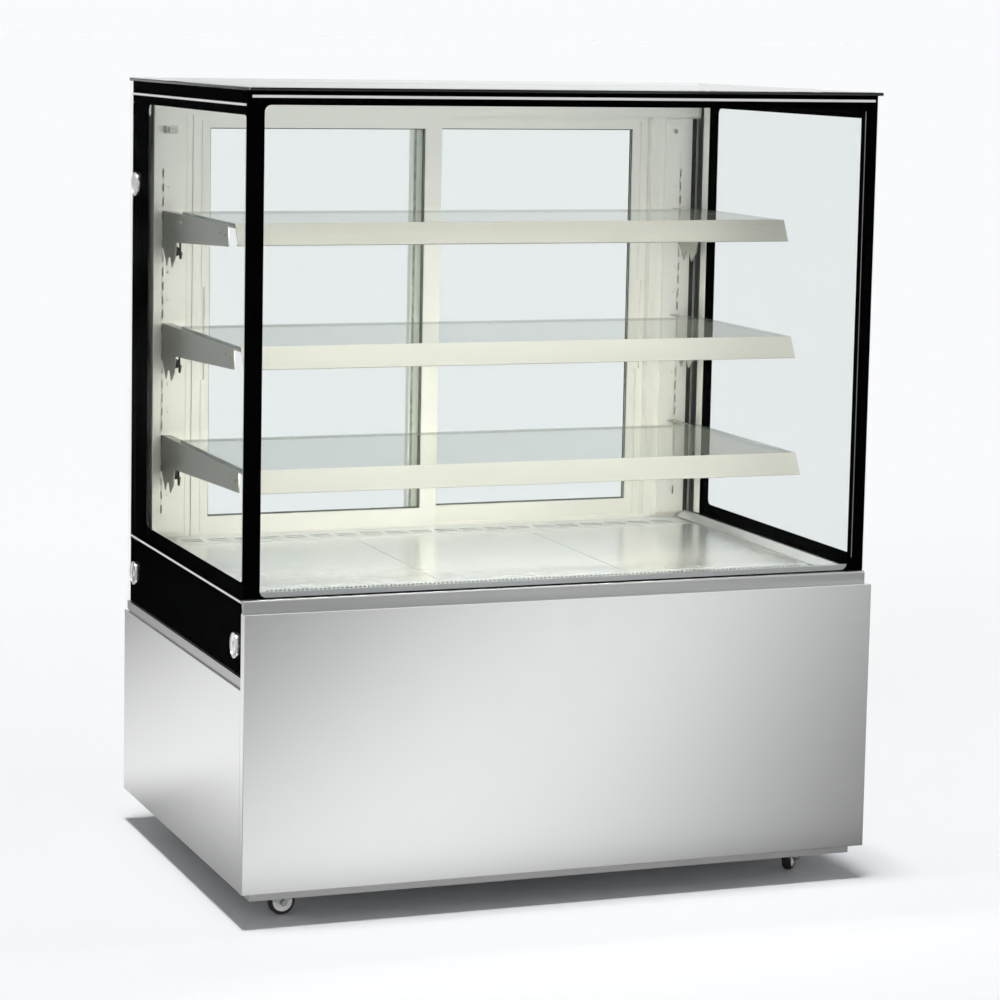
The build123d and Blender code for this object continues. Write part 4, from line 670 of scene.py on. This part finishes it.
def floor(settings):
    """A floor in the backdrop's colour, with painted shade near the case against the light that the metal
    throws onto it. The metal mirrors it as light bands that dim near the case in a painted shadow.
    """
    half_width, half_depth = 0.6, 0.4
    low_share = 0.126  # part of the low sky's light that reaches a level floor
    near_tone, spill_reach = 0.935, 3.5
    dim_inside, dim_beyond, dimmest = -0.1, 0.45, 0.2
    band_shift, side_shift = 0.586, 0.157
    free()
    bpy.ops.mesh.primitive_grid_add(x_subdivisions=8, y_subdivisions=8, size=900.0)
    floor = begin("studio_floor")
    f = material("studio floor")
    fall = (settings.low_sky * low_share + settings.high_sky * (1 - low_share)
            + settings.lamp * Vector(settings.lamp_toward).normalized().z / math.pi)
    plain = tuple(part / fall for part in settings.backdrop)
    x = f.axis("X")
    y = f.axis("Y")
    beside = x.maths("ABSOLUTE", x) - half_width
    before = y.maths("ABSOLUTE", y) - half_depth
    away = x.maths("MAXIMUM", beside, before)
    # Painted shadow of the case: the mirrored light bands dim near it
    near = f.span(away, dim_inside, dim_beyond, dimmest, 1.0, "SMOOTHSTEP")
    # Painted shade: the floor colour darkens towards the case, against light that the metal throws onto the
    # floor
    spill = f.span(away, 0.0, spill_reach, kind="SMOOTHSTEP")
    matt = f.node("ShaderNodeBsdfDiffuse", inputs={"Color": f.mixed(spill, tone(plain, near_tone), plain)})
    across = x * BAND_TOWARD[0] + y * BAND_TOWARD[1] + band_shift - (x < -half_width) * side_shift
    bands = wave(across, 2 * math.pi / settings.band_width)
    level = (bands * (1 - settings.band_low) + settings.band_low) * near
    glow = f.node("ShaderNodeEmission", inputs={"Color": (1.0, 1.0, 1.0), "Strength": level})
    floor.data.materials.append(f.show(f.blend(mirrored_ray(f), matt, glow)))


def world(context, settings):
    """Light bands low all round for what the metal mirrors, and an even sky for the light itself."""
    band_rate, band_top, roof_level = 7.0, 0.95, 0.92
    band_end, roof_start = 0.12, 0.75
    low_sky_end, high_sky_start = 0.25, 0.45
    world = bpy.data.worlds.new("studio")
    context.scene.world = world
    f = Finish(world)
    direction = f.node("ShaderNodeTexCoord", output="Generated")
    x, y, z = (f.node("ShaderNodeSeparateXYZ", inputs={0: direction}, output=axis) for axis in "XYZ")
    bands = wave(x * BAND_TOWARD[0] + y * BAND_TOWARD[1], band_rate)
    low = bands * (band_top - settings.band_low) + settings.band_low
    up = f.span(z, band_end, roof_start)
    mirrored_level = low * (1 - up) + roof_level * up
    seen = f.node("ShaderNodeLightPath", output="Is Camera Ray")
    level = f.span(z, low_sky_end, high_sky_start, settings.low_sky, settings.high_sky)
    even = f.node("ShaderNodeBackground", inputs={"Color": (1.0, 1.0, 1.0), "Strength": level})
    banded = f.node("ShaderNodeBackground", inputs={"Color": (1.0, 1.0, 1.0), "Strength": mirrored_level})
    plain = f.node("ShaderNodeBackground", inputs={"Color": tuple(settings.backdrop), "Strength": 1.0})
    f.show(f.blend(seen, f.blend(mirrored_ray(f), even, banded), plain))


def lamp(settings):
    """The soft lamp, nearly straight above."""
    free()
    bpy.ops.object.light_add(type="SUN", location=(2.0, 1.5, 4.0))
    lamp = bpy.context.object
    lamp.name = "soft_lamp"
    lamp.data.energy = settings.lamp
    lamp.data.angle = settings.lamp_spread
    lamp.rotation_euler = Vector(settings.lamp_toward).to_track_quat("Z", "Y").to_euler()


def camera(context, settings):
    """The photo's view, from the front left and a little above."""
    yaw, pitch, roll = settings.camera_turn
    forward = Vector((math.sin(yaw) * math.cos(pitch), math.cos(yaw) * math.cos(pitch), -math.sin(pitch)))
    level = Vector((math.cos(yaw), -math.sin(yaw), 0.0))
    up = level.cross(forward)
    right = level * math.cos(roll) + up * math.sin(roll)
    up = up * math.cos(roll) - level * math.sin(roll)
    free()
    bpy.ops.object.camera_add()
    camera = bpy.context.object
    camera.name = "photo_camera"
    turn = Matrix((right, up, -forward)).transposed().to_4x4()
    camera.matrix_world = Matrix.Translation(Vector(settings.camera_place)) @ turn
    camera.data.sensor_width = 36.0
    camera.data.lens = settings.lens
    camera.data.shift_x, camera.data.shift_y = settings.shift
    camera.data.clip_end = 2000.0
    context.scene.camera = camera


class CASE_OT_stage(bpy.types.Operator):
    """Adds the floor, the soft light and the camera"""

    bl_idname = "display_case.stage"
    bl_label = "Floor, light and camera"

    def execute(self, context):
        settings = context.scene.case_stage
        context.scene.view_settings.view_transform = "Standard"
        context.scene.cycles.transparent_max_bounces = 32
        floor(settings)
        world(context, settings)
        lamp(settings)
        camera(context, settings)
        return {"FINISHED"}


class CASE_OT_metalwork(bpy.types.Operator):
    """Gives the sheet metal of the base, the chassis and the hidden machinery their finishes"""

    bl_idname = "display_case.metalwork"
    bl_label = "Base and machinery finishes"

    def execute(self, context):
        colours = context.scene.case_finishes
        dress(brushed_steel("front sheet", colours.steel, 0.2, "X"), "front_panel")
        dress(brushed_steel("side sheet", colours.steel, 0.2, "Y"), "side_panels")
        dress(brushed_steel("rear sheet", colours.steel, 0.34, "X"), "rear_panels")
        dress(brushed_steel("ledge steel", colours.ledge_steel, 0.3, "X"), "ledge_trims")
        dress(coated_metal("skirt paint", colours.skirt_paint, 0.42, metallic=0.6), "plinth_skirt")
        dress(spangled_zinc("chassis zinc", colours.zinc), "chassis", "fan_shrouds", "control_box")
        dress(coated_metal("well skin", shade(226, 227, 226), 0.5), "insulated_tub")
        dress(brushed_steel("fin aluminium", shade(205, 208, 210), 0.35, "Z", grain=0.0006),
              "evaporator_coil", "condenser_coil", "condenser_fan")
        dress(coated_metal("black enamelled shell", shade(22, 23, 25), 0.3, coat=0.4), "compressor",
              "fan_motors")
        dress(aged_copper("bare copper", shade(202, 128, 88)), "refrigerant_pipes")
        dress(moulded_plastic("white tray plastic", shade(224, 226, 224), 0.4), "condensate_tray")
        dress(moulded_plastic("black moulded plastic", shade(24, 25, 27), 0.42), "evaporator_fan_left",
              "evaporator_fan_right", "power_inlet")
        return {"FINISHED"}


def printed_lines(colours, trim):
    """White lines near the glass edges, and a silver line down the right front corner."""
    thick = trim.stripe_thickness
    dent = thick * 0.2
    front_foot, front_inset = 1.4318, 0.008
    side_front = -0.3685
    top_foot, top_back = 1.4175, 0.378
    low_foot, low_back = 0.5672, 0.375
    bead_x, bead_z = (0.5685, 0.5700), (0.600, 1.4150)
    ahead, aside = (0, -1, 0), (-1, 0, 0)
    ink = coated_metal("white printed line", colours.stripe, 0.35)
    low, high = node_box("front_outer_glass")
    front = bar("stripe_front", (low.x + front_inset, low.y - thick, front_foot),
                (high.x - front_inset, low.y, front_foot + trim.stripe_width), -dent, ahead, dent)
    outer = node_box("side_outer_glasses")[0].x
    wide = trim.side_stripe_width
    upper = bar("stripe_side_top", (outer - thick, side_front, top_foot),
                (outer, top_back, top_foot + wide), -dent, aside, dent)
    lower = bar("stripe_side_foot", (outer - thick, side_front, low_foot),
                (outer, low_back, low_foot + wide), -dent, aside, dent)
    bead = bar("corner_bead", (bead_x[0], low.y - thick, bead_z[0]), (bead_x[1], low.y, bead_z[1]), -dent,
               ahead, dent)
    finish_piece(bead, brushed_steel("silver corner line", shade(150, 151, 150), 0.35, "Z"))
    twins = [mirrored(upper, "stripe_twin_top"), mirrored(lower, "stripe_twin_foot")]
    finish_piece(joined("printed_lines", [front, upper, lower] + twins), ink)


def caps():
    """Turned caps on the side glass, each with a rounded rim and a shallow dish."""
    play, rim = 0.00002, 0.0007
    rings = ((False, 0.0020, 0.0), (False, 0.0012, -0.0010), (False, 0.0100, 0.0), (False, 0.0030, 0.0004))
    pieces = []
    for low, high in loose_boxes("glass_caps"):
        side = 1 if low.x > 0 else -1
        pieces.append(turned_part("cap", (high.z - low.z) / 2, high.x - low.x - play, (low + high) / 2,
                                  (side, 0, 0), rings, rim))
    caps = joined("turned_caps", pieces)
    finish_piece(caps, brushed_steel("polished caps", shade(240, 239, 237), 0.2, "Z", grain=0.0004,
                                     contrast=0.03))
    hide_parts("glass_caps")


def edges():
    """Polished edges of the roof glass and of the shelves, which look darker than their faces."""
    skin = 0.0003
    tuck, foot = 0.0008, 0.0004
    finish = edge_glass("polished roof edge", shade(12, 14, 14))
    low, high = node_box("top_glass")
    pieces = [bar("roof_edge", (low.x + tuck, low.y - skin, low.z + foot),
                  (high.x - tuck, low.y + skin, high.z - tuck), edge=skin * 0.6)]
    for x in (-high.x, high.x):
        pieces.append(bar("roof_edge", (x - skin, low.y + tuck, low.z + foot),
                          (x + skin, high.y - tuck, high.z - tuck), edge=skin * 0.6))
    finish_piece(joined("roof_glass_edges", pieces), finish)
    tuck, foot, top = 0.001, 0.0003, 0.0009
    finish = edge_glass("polished shelf edge", shade(140, 148, 144))
    pieces = []
    for low, high in shelf_plates():
        for x in (-high.x, high.x):
            pieces.append(bar("shelf_edge", (x - skin, low.y + tuck, low.z + foot),
                              (x + skin, high.y - tuck, high.z - top), edge=skin * 0.5))
        pieces.append(bar("shelf_edge", (low.x + tuck, high.y - skin, low.z + foot),
                          (high.x - tuck, high.y + skin, high.z - top), edge=skin * 0.5))
    finish_piece(joined("shelf_glass_edges", pieces), finish)


class CASE_OT_glazing(bpy.types.Operator):
    """Gives the glass, borders, spacers and caps their finishes and adds the printed lines and dark edges"""

    bl_idname = "display_case.glazing"
    bl_label = "Glass and printed lines"

    def execute(self, context):
        colours = context.scene.case_finishes
        pane = clear_pane("clear side glass", tuple(colours.glass), 0.02, 0.001)
        dress(pane, "front_outer_glass", "side_outer_glasses", "inner_glasses")
        dress(clear_pane("door glass", tuple(colours.door_glass), 0.1, 0.002), "left_door_glass",
              "right_door_glass")
        dress(clear_pane("roof glass", shade(244, 249, 251), 1.0, 0.02), "top_glass")
        dress(clear_pane("shelf glass", shade(241, 243, 242), 0.9, 0.16), "shelf_glasses")
        dress(fired_enamel("black enamel", colours.enamel), "glass_borders")
        dress(brushed_steel("spacer bar", shade(196, 198, 198), 0.35, "Z"), "glass_spacers")
        caps()
        printed_lines(colours, context.scene.case_trim)
        edges()
        return {"FINISHED"}


def sockets():
    """Collar round each lamp socket on the left upright, and the plug by the hole at its top."""
    socket_x, socket_drop, collar_out = -0.518, 0.078, 0.0016
    low, high = node_box("shelf_uprights")
    face, top = low.y, high.z
    collar = turned_part("collar", 0.010, 0.003, (socket_x, face - collar_out, 0.0), (0, -1, 0),
                         ((False, 0.0022, 0.0008), (False, 0.001, 0.0)), 0.0004)
    pieces = copies(collar, [(0.0, 0.0, box[0].z - socket_drop) for box in shelf_plates()])
    dark = moulded_plastic("socket collar", shade(30, 30, 32), 0.38)
    finish_piece(joined("lamp_socket_collars", pieces), dark)
    plug = bar("top_plug", (-0.541, face - 0.014, top - 0.034), (-0.517, face - 0.0003, top - 0.018),
               0.0012, (0, -1, 0), 0.0012)
    nose = bar("top_plug_nose", (-0.536, face - 0.022, top - 0.031), (-0.522, face - 0.0138, top - 0.021),
               -0.001, (0, -1, 0), 0.001)
    finish_piece(joined("lamp_plug", [plug, nose]),
                 moulded_plastic("plug plastic", shade(206, 205, 198), 0.4))


def slot_backs():
    """Painted shade: dark strips behind the slots and pin holes of the uprights, where they lie in shade, and
    a painted shadow line down their outer edges.
    """
    low, high = node_box("shelf_uprights")
    back = (high.y + 0.0002, high.y + 0.0002 + 0.0006)
    slots = ((0.542, 0.0042), (0.532, 0.0030))
    hole_x, hole_z = (0.5215, 0.5365), (1.345, 1.361)
    gap_shadow_x = (0.5662, 0.5755)
    dent = 0.0001
    pieces = []
    for side in (-1, 1):
        # Painted shade in the slots and the pin hole
        strips = [("slot_back", (middle - half, middle + half), back, (low.z + 0.01, high.z - 0.01))
                  for middle, half in slots]
        strips.append(("hole_back", hole_x, back, hole_z))
        # Painted shadow of the gap beside each upright
        strips.append(("gap_shadow", gap_shadow_x, (low.y, high.y), (low.z + 0.001, high.z - 0.001)))
        for name, across, deep, tall in strips:
            near, far = sorted(side * x for x in across)
            pieces.append(bar(name, (near, deep[0], tall[0]), (far, deep[1], tall[1]), dent, (0, -1, 0),
                              dent))
    # The strips take a dark rubber finish as painted shade
    finish_piece(joined("upright_shade_strips", pieces), soft_rubber("painted shade strip", shade(38, 38, 36)))


def screen():
    """Dark mesh screen below the slots of the front grille."""
    inset, drop, dent = 0.003, 0.0032, 0.0002
    low, high = min(loose_boxes("air_grilles"), key=lambda box: box[0].y)
    top = high.z - drop
    plate = bar("intake_screen", (low.x + inset, low.y + inset, top - 0.001),
                (high.x - inset, high.y - inset, top), -dent, (0, 0, 1), dent)
    finish_piece(plate, moulded_plastic("dark mesh screen", shade(16, 16, 16), 0.6, texture=0.0012))


def glass_strips():
    """Pale strips that cover the rear spacers on the inside of the side glass."""
    strip_x, strip_y, dent = (-0.5758, -0.5750), (0.2910, 0.3170), 0.0002
    low, high = node_box("inner_glasses")
    strip = bar("strip", (strip_x[0], strip_y[0], low.z + 0.02), (strip_x[1], strip_y[1], high.z - 0.004),
                dent, (1, 0, 0), dent)
    finish_piece(joined("side_glass_strips", [strip, mirrored(strip, "strip_twin")]),
                 moulded_plastic("pale strip", shade(236, 234, 226), 0.4))


def shelf_pads():
    """Small grey bumpers between each shelf glass and its brackets."""
    bracket_x, from_end, sunk = 0.531, 0.05, 0.0004
    pad = turned_part("pad", 0.006, 0.0014, (0, 0, 0), (0, 0, 1), ((True, 0.0014, 0.0002),), 0.0003, 24)
    moves = [(x, y, low.z - sunk) for low, high in shelf_plates() for x in (-bracket_x, bracket_x)
             for y in (low.y + from_end, high.y - from_end)]
    finish_piece(joined("shelf_bumpers", copies(pad, moves)),
                 soft_rubber("grey bumper", shade(120, 122, 122)))


class CASE_OT_inside(bpy.types.Operator):
    """Gives the deck, uprights, shelves and lamps their finishes and adds the small parts on them"""

    bl_idname = "display_case.inside"
    bl_label = "Inside of the case"

    def execute(self, context):
        colours = context.scene.case_finishes
        calm = {"metallic": 0.6, "contrast": 0.02, "wear": 0.02}
        dress(brushed_steel("deck sheet", colours.deck_steel, 0.24, **calm), "deck_pans")
        dress(brushed_steel("grille sheet", tone(colours.deck_steel, 0.9), 0.3, **calm), "air_grilles")
        dress(brushed_steel("upright steel", colours.inner_steel, 0.42, "Z", metallic=0.15), "shelf_uprights")
        dress(rail_finish("rail steel", colours.rail_steel), "shelf_rails")
        dress(brushed_steel("bracket plate", colours.bracket_steel, 0.4, "Y", metallic=0.6), "shelf_brackets")
        dress(glowing_lens("lamp diffuser", colours.lamp_glow, strength=26.0, dim_above=1.3), "led_lamps")
        dress(moulded_plastic("black lead", shade(20, 20, 21), 0.4), "led_leads")
        sockets()
        slot_backs()
        shelf_pads()
        screen()
        glass_strips()
        return {"FINISHED"}


def door(side, seal, width):
    """Seals round the pane on both faces and a brush strip down the inner stile."""
    stile, rail, half_pane = 0.034, 0.038, 0.003
    seal_depth, seal_edge = 0.0018, 0.0004
    brush_in, half_brush, brush_depth, brush_gap = 0.006, 0.0025, 0.0016, 0.02
    low, high = node_box(side + "_door_frame")
    middle = (low.y + high.y) / 2
    pieces = []
    for face in (-1, 1):
        y = middle + face * (half_pane + 0.0010)
        pieces.append(ring_plate("seal", low.x + stile, high.x - stile, low.z + rail, high.z - rail, y,
                                 width, seal_depth, seal_edge))
    finish_piece(joined(side + "_door_seals", pieces), seal, side + "_door")
    if side == "left":
        inner, out, near, far = high.x - brush_in, 1, high.y, high.y + brush_depth
    else:
        inner, out, near, far = low.x + brush_in, -1, low.y - brush_depth, low.y
    brush = bar("brush", (inner - half_brush, near, low.z + brush_gap),
                (inner + half_brush, far, high.z - brush_gap), 0.0, (0, out, 0), 0.0004)
    finish_piece(brush, soft_rubber(side + " brush pile", shade(150, 150, 147)), side + "_door")
    brush.name = side + "_door_brush"


def screws():
    """Pan-head screws in the rear header and jambs."""
    header_row, header_drop = (-0.56, -0.28, 0.0, 0.28, 0.56), 0.012
    jamb_x, jamb_column = 0.566, (0.62, 0.86, 1.10, 1.34)
    high = node_box("rear_header")[1]
    screw = turned_part("screw", 0.0042, 0.0012, (0, high.y + 0.0006, 0), (0, 1, 0),
                        ((False, 0.0012, 0.0002), (False, 0.0014, -0.0006)), 0.0002, 24)
    moves = [(x, 0, high.z - header_drop) for x in header_row]
    moves += [(x, 0, z) for x in (-jamb_x, jamb_x) for z in jamb_column]
    finish_piece(joined("rear_screws", copies(screw, moves)),
                 brushed_steel("screw steel", shade(205, 206, 206), 0.28, "X"))


class CASE_OT_rear_frame(bpy.types.Operator):
    """Gives the rear frame and the sliding doors their finishes and adds the seals, brushes and screws"""

    bl_idname = "display_case.rear_frame"
    bl_label = "Rear frame and doors"

    def execute(self, context):
        colours = context.scene.case_finishes
        trim = context.scene.case_trim
        dress(brushed_steel("rear profile", colours.inner_steel, 0.4, "X", metallic=0.15), "rear_header",
              "door_track")
        dress(brushed_steel("upright profile", colours.inner_steel, 0.4, "Z", metallic=0.15), "rear_jambs",
              "left_door_frame", "right_door_frame")
        seal = soft_rubber("door seal", shade(96, 97, 95))
        for side in ("left", "right"):
            door(side, seal, trim.seal)
        screws()
        return {"FINISHED"}


def display(figure_height):
    """Smoked glass in the controller's window, with lit figures on it."""
    low, high = node_box("controller")
    left, right = low.x + 0.0097, low.x + 0.0457
    gap, border = 0.0006, 0.0083
    glass = bar("display_glass", (left + gap, high.y - 0.0010, low.z + border),
                (right - gap, high.y - 0.0004, high.z - border), 0.0, (0, 1, 0), 0.0001)
    finish_piece(glass, edge_glass("smoked display", shade(30, 8, 8)))
    middle = ((left + right) / 2, high.y - 0.00035, (low.z + high.z) / 2)
    digits = lettering("display_figures", "4.0", figure_height, middle, FACING_BACK, 0.0001)
    finish_piece(digits, moulded_plastic("lit figures", shade(255, 74, 48), 0.4, glow=1.5))


def key_marks():
    """A small mark on each of the four keys, which moves with its key."""
    radius, depth, above = 0.0017, 0.0001, 0.00004
    ink = coated_metal("white key mark", shade(232, 232, 230), 0.5)
    for name, sides in (("set", 24), ("up", 3), ("defrost", 6), ("down", 3)):
        low, high = node_box("key_" + name)
        free()
        bpy.ops.mesh.primitive_cylinder_add(vertices=sides, radius=radius, depth=depth)
        mark = begin("mark_" + name)
        pick_faces(mark, lambda middle, normal: normal.z > 0.9)
        bpy.ops.mesh.inset(thickness=0.0003, depth=0.00003)
        leave_edit()
        mark.rotation_euler = FACING_BACK
        mark.location = ((low.x + high.x) / 2, high.y + above, (low.z + high.z) / 2)
        settle(mark)
        finish_piece(mark, ink, "key_" + name)


def gland_seal():
    """Rubber ring inside the mouth of the cable gland."""
    ring_radius, half_thick, sunk = 0.0068, 0.0011, 0.0012
    low, high = node_box("power_inlet")
    middle = ((low.x + high.x) / 2, high.y - sunk, (low.z + high.z) / 2)
    free()
    bpy.ops.mesh.primitive_torus_add(major_segments=36, minor_segments=8, major_radius=ring_radius,
                                     minor_radius=half_thick, location=middle,
                                     rotation=(math.pi / 2, 0.0, 0.0))
    ring = begin("gland_seal")
    settle(ring)
    finish_piece(ring, soft_rubber("gland rubber", shade(34, 34, 36)))


class CASE_OT_controls(bpy.types.Operator):
    """Gives the controller and switches their finishes and adds the display, key marks and gland seal"""

    bl_idname = "display_case.controls"
    bl_label = "Rear controls"

    def execute(self, context):
        trim = context.scene.case_trim
        dress(moulded_plastic("control fascia", shade(30, 31, 34), 0.4), "controller", "switch_housings")
        dress(moulded_plastic("grey key", shade(118, 122, 126), 0.5), "key_set", "key_up", "key_defrost",
              "key_down")
        dress(moulded_plastic("green rocker", shade(32, 132, 66), 0.3, glow=0.15), "power_rocker")
        dress(moulded_plastic("red rocker", shade(188, 36, 30), 0.3, glow=0.15), "light_rocker")
        display(trim.display_height)
        key_marks()
        gland_seal()
        return {"FINISHED"}


def wheel(corner, joint, tyre_depth, tyre_finish, hub_finish):
    """A round-backed tyre on a hub that is dished on both sides."""
    radius, half_width = 0.02498, 0.009
    tube = half_width * 0.55
    hub_rings = ((True, 0.0016, 0.0), (True, 0.0012, -0.0022), (True, 0.0085, 0.0), (True, 0.0010, 0.0020),
                 (True, 0.0016, 0.0))
    node = "castor_wheel_" + corner
    body = "wheel_" + corner
    low, high = node_box(node)
    place = (low + high) / 2
    axis = joint["axis"]
    free()
    bpy.ops.mesh.primitive_torus_add(major_segments=72, minor_segments=16, major_radius=radius - tube,
                                     minor_radius=tube)
    tyre = begin("tyre_" + corner)
    bpy.ops.object.mode_set(mode="EDIT")
    bpy.ops.mesh.select_all(action="SELECT")
    bpy.ops.transform.resize(value=(1.0, 1.0, half_width / tube * 0.98))
    leave_edit()
    tyre.rotation_euler = upright_to(axis)
    tyre.location = place
    settle(tyre)
    rounded(tyre, 0.0002, segments=1, angle=60)
    finish_piece(tyre, tyre_finish, body)
    hub = turned_part("hub_" + corner, radius - tyre_depth - 0.0008, half_width * 2 - 0.0024, place, axis,
                      hub_rings, 0.0004)
    finish_piece(hub, hub_finish, body)
    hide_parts(node)
    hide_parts(node)


class CASE_OT_castors(bpy.types.Operator):
    """Gives the castors their finishes and replaces each wheel by a tyre on a dished hub"""

    bl_idname = "display_case.castors"
    bl_label = "Castors"

    def execute(self, context):
        colours = context.scene.case_finishes
        trim = context.scene.case_trim
        zinc = brushed_steel("bright zinc", shade(196, 199, 201), 0.3, "Z", grain=0.0008, contrast=0.12)
        dress(zinc, "castor_plates", "brake_pedal_front_left", "brake_pedal_front_right")
        tyre_finish = soft_rubber("tyre", colours.rubber)
        hub_finish = moulded_plastic("wheel hub", colours.hub, 0.35)
        for joint in frame["joints"]:
            if not joint["name"].startswith("wheel_spin_"):
                continue
            corner = joint["name"][len("wheel_spin_"):]
            dress(zinc, "castor_fork_" + corner)
            wheel(corner, joint, trim.tyre, tyre_finish, hub_finish)
        return {"FINISHED"}


class CASE_PT_sidebar(bpy.types.Panel):
    """Lists the steps that dress the display case"""

    bl_idname = "CASE_PT_sidebar"
    bl_label = "Display case"
    bl_space_type = "VIEW_3D"
    bl_region_type = "UI"
    bl_category = "Display case"

    def draw(self, context):
        column = self.layout.column()
        for operator in OPERATORS:
            column.operator(operator.bl_idname)
        for group in (context.scene.case_stage, context.scene.case_finishes, context.scene.case_trim):
            box = self.layout.box()
            for name in group.__annotations__:
                box.prop(group, name)


OPERATORS = (CASE_OT_stage, CASE_OT_metalwork, CASE_OT_glazing, CASE_OT_inside, CASE_OT_rear_frame,
             CASE_OT_controls, CASE_OT_castors)
CLASSES = (StageSettings, FinishSettings, TrimSettings, *OPERATORS, CASE_PT_sidebar)


def register():
    for kind in CLASSES:
        bpy.utils.register_class(kind)
    bpy.types.Scene.case_stage = bpy.props.PointerProperty(type=StageSettings)
    bpy.types.Scene.case_finishes = bpy.props.PointerProperty(type=FinishSettings)
    bpy.types.Scene.case_trim = bpy.props.PointerProperty(type=TrimSettings)


def unregister():
    del bpy.types.Scene.case_trim
    del bpy.types.Scene.case_finishes
    del bpy.types.Scene.case_stage
    for kind in reversed(CLASSES):
        bpy.utils.unregister_class(kind)


def main():
    register()
    for operator in OPERATORS:
        group, name = operator.bl_idname.split(".")
        getattr(getattr(bpy.ops, group), name)()


if __name__ == "__main__":
    main()
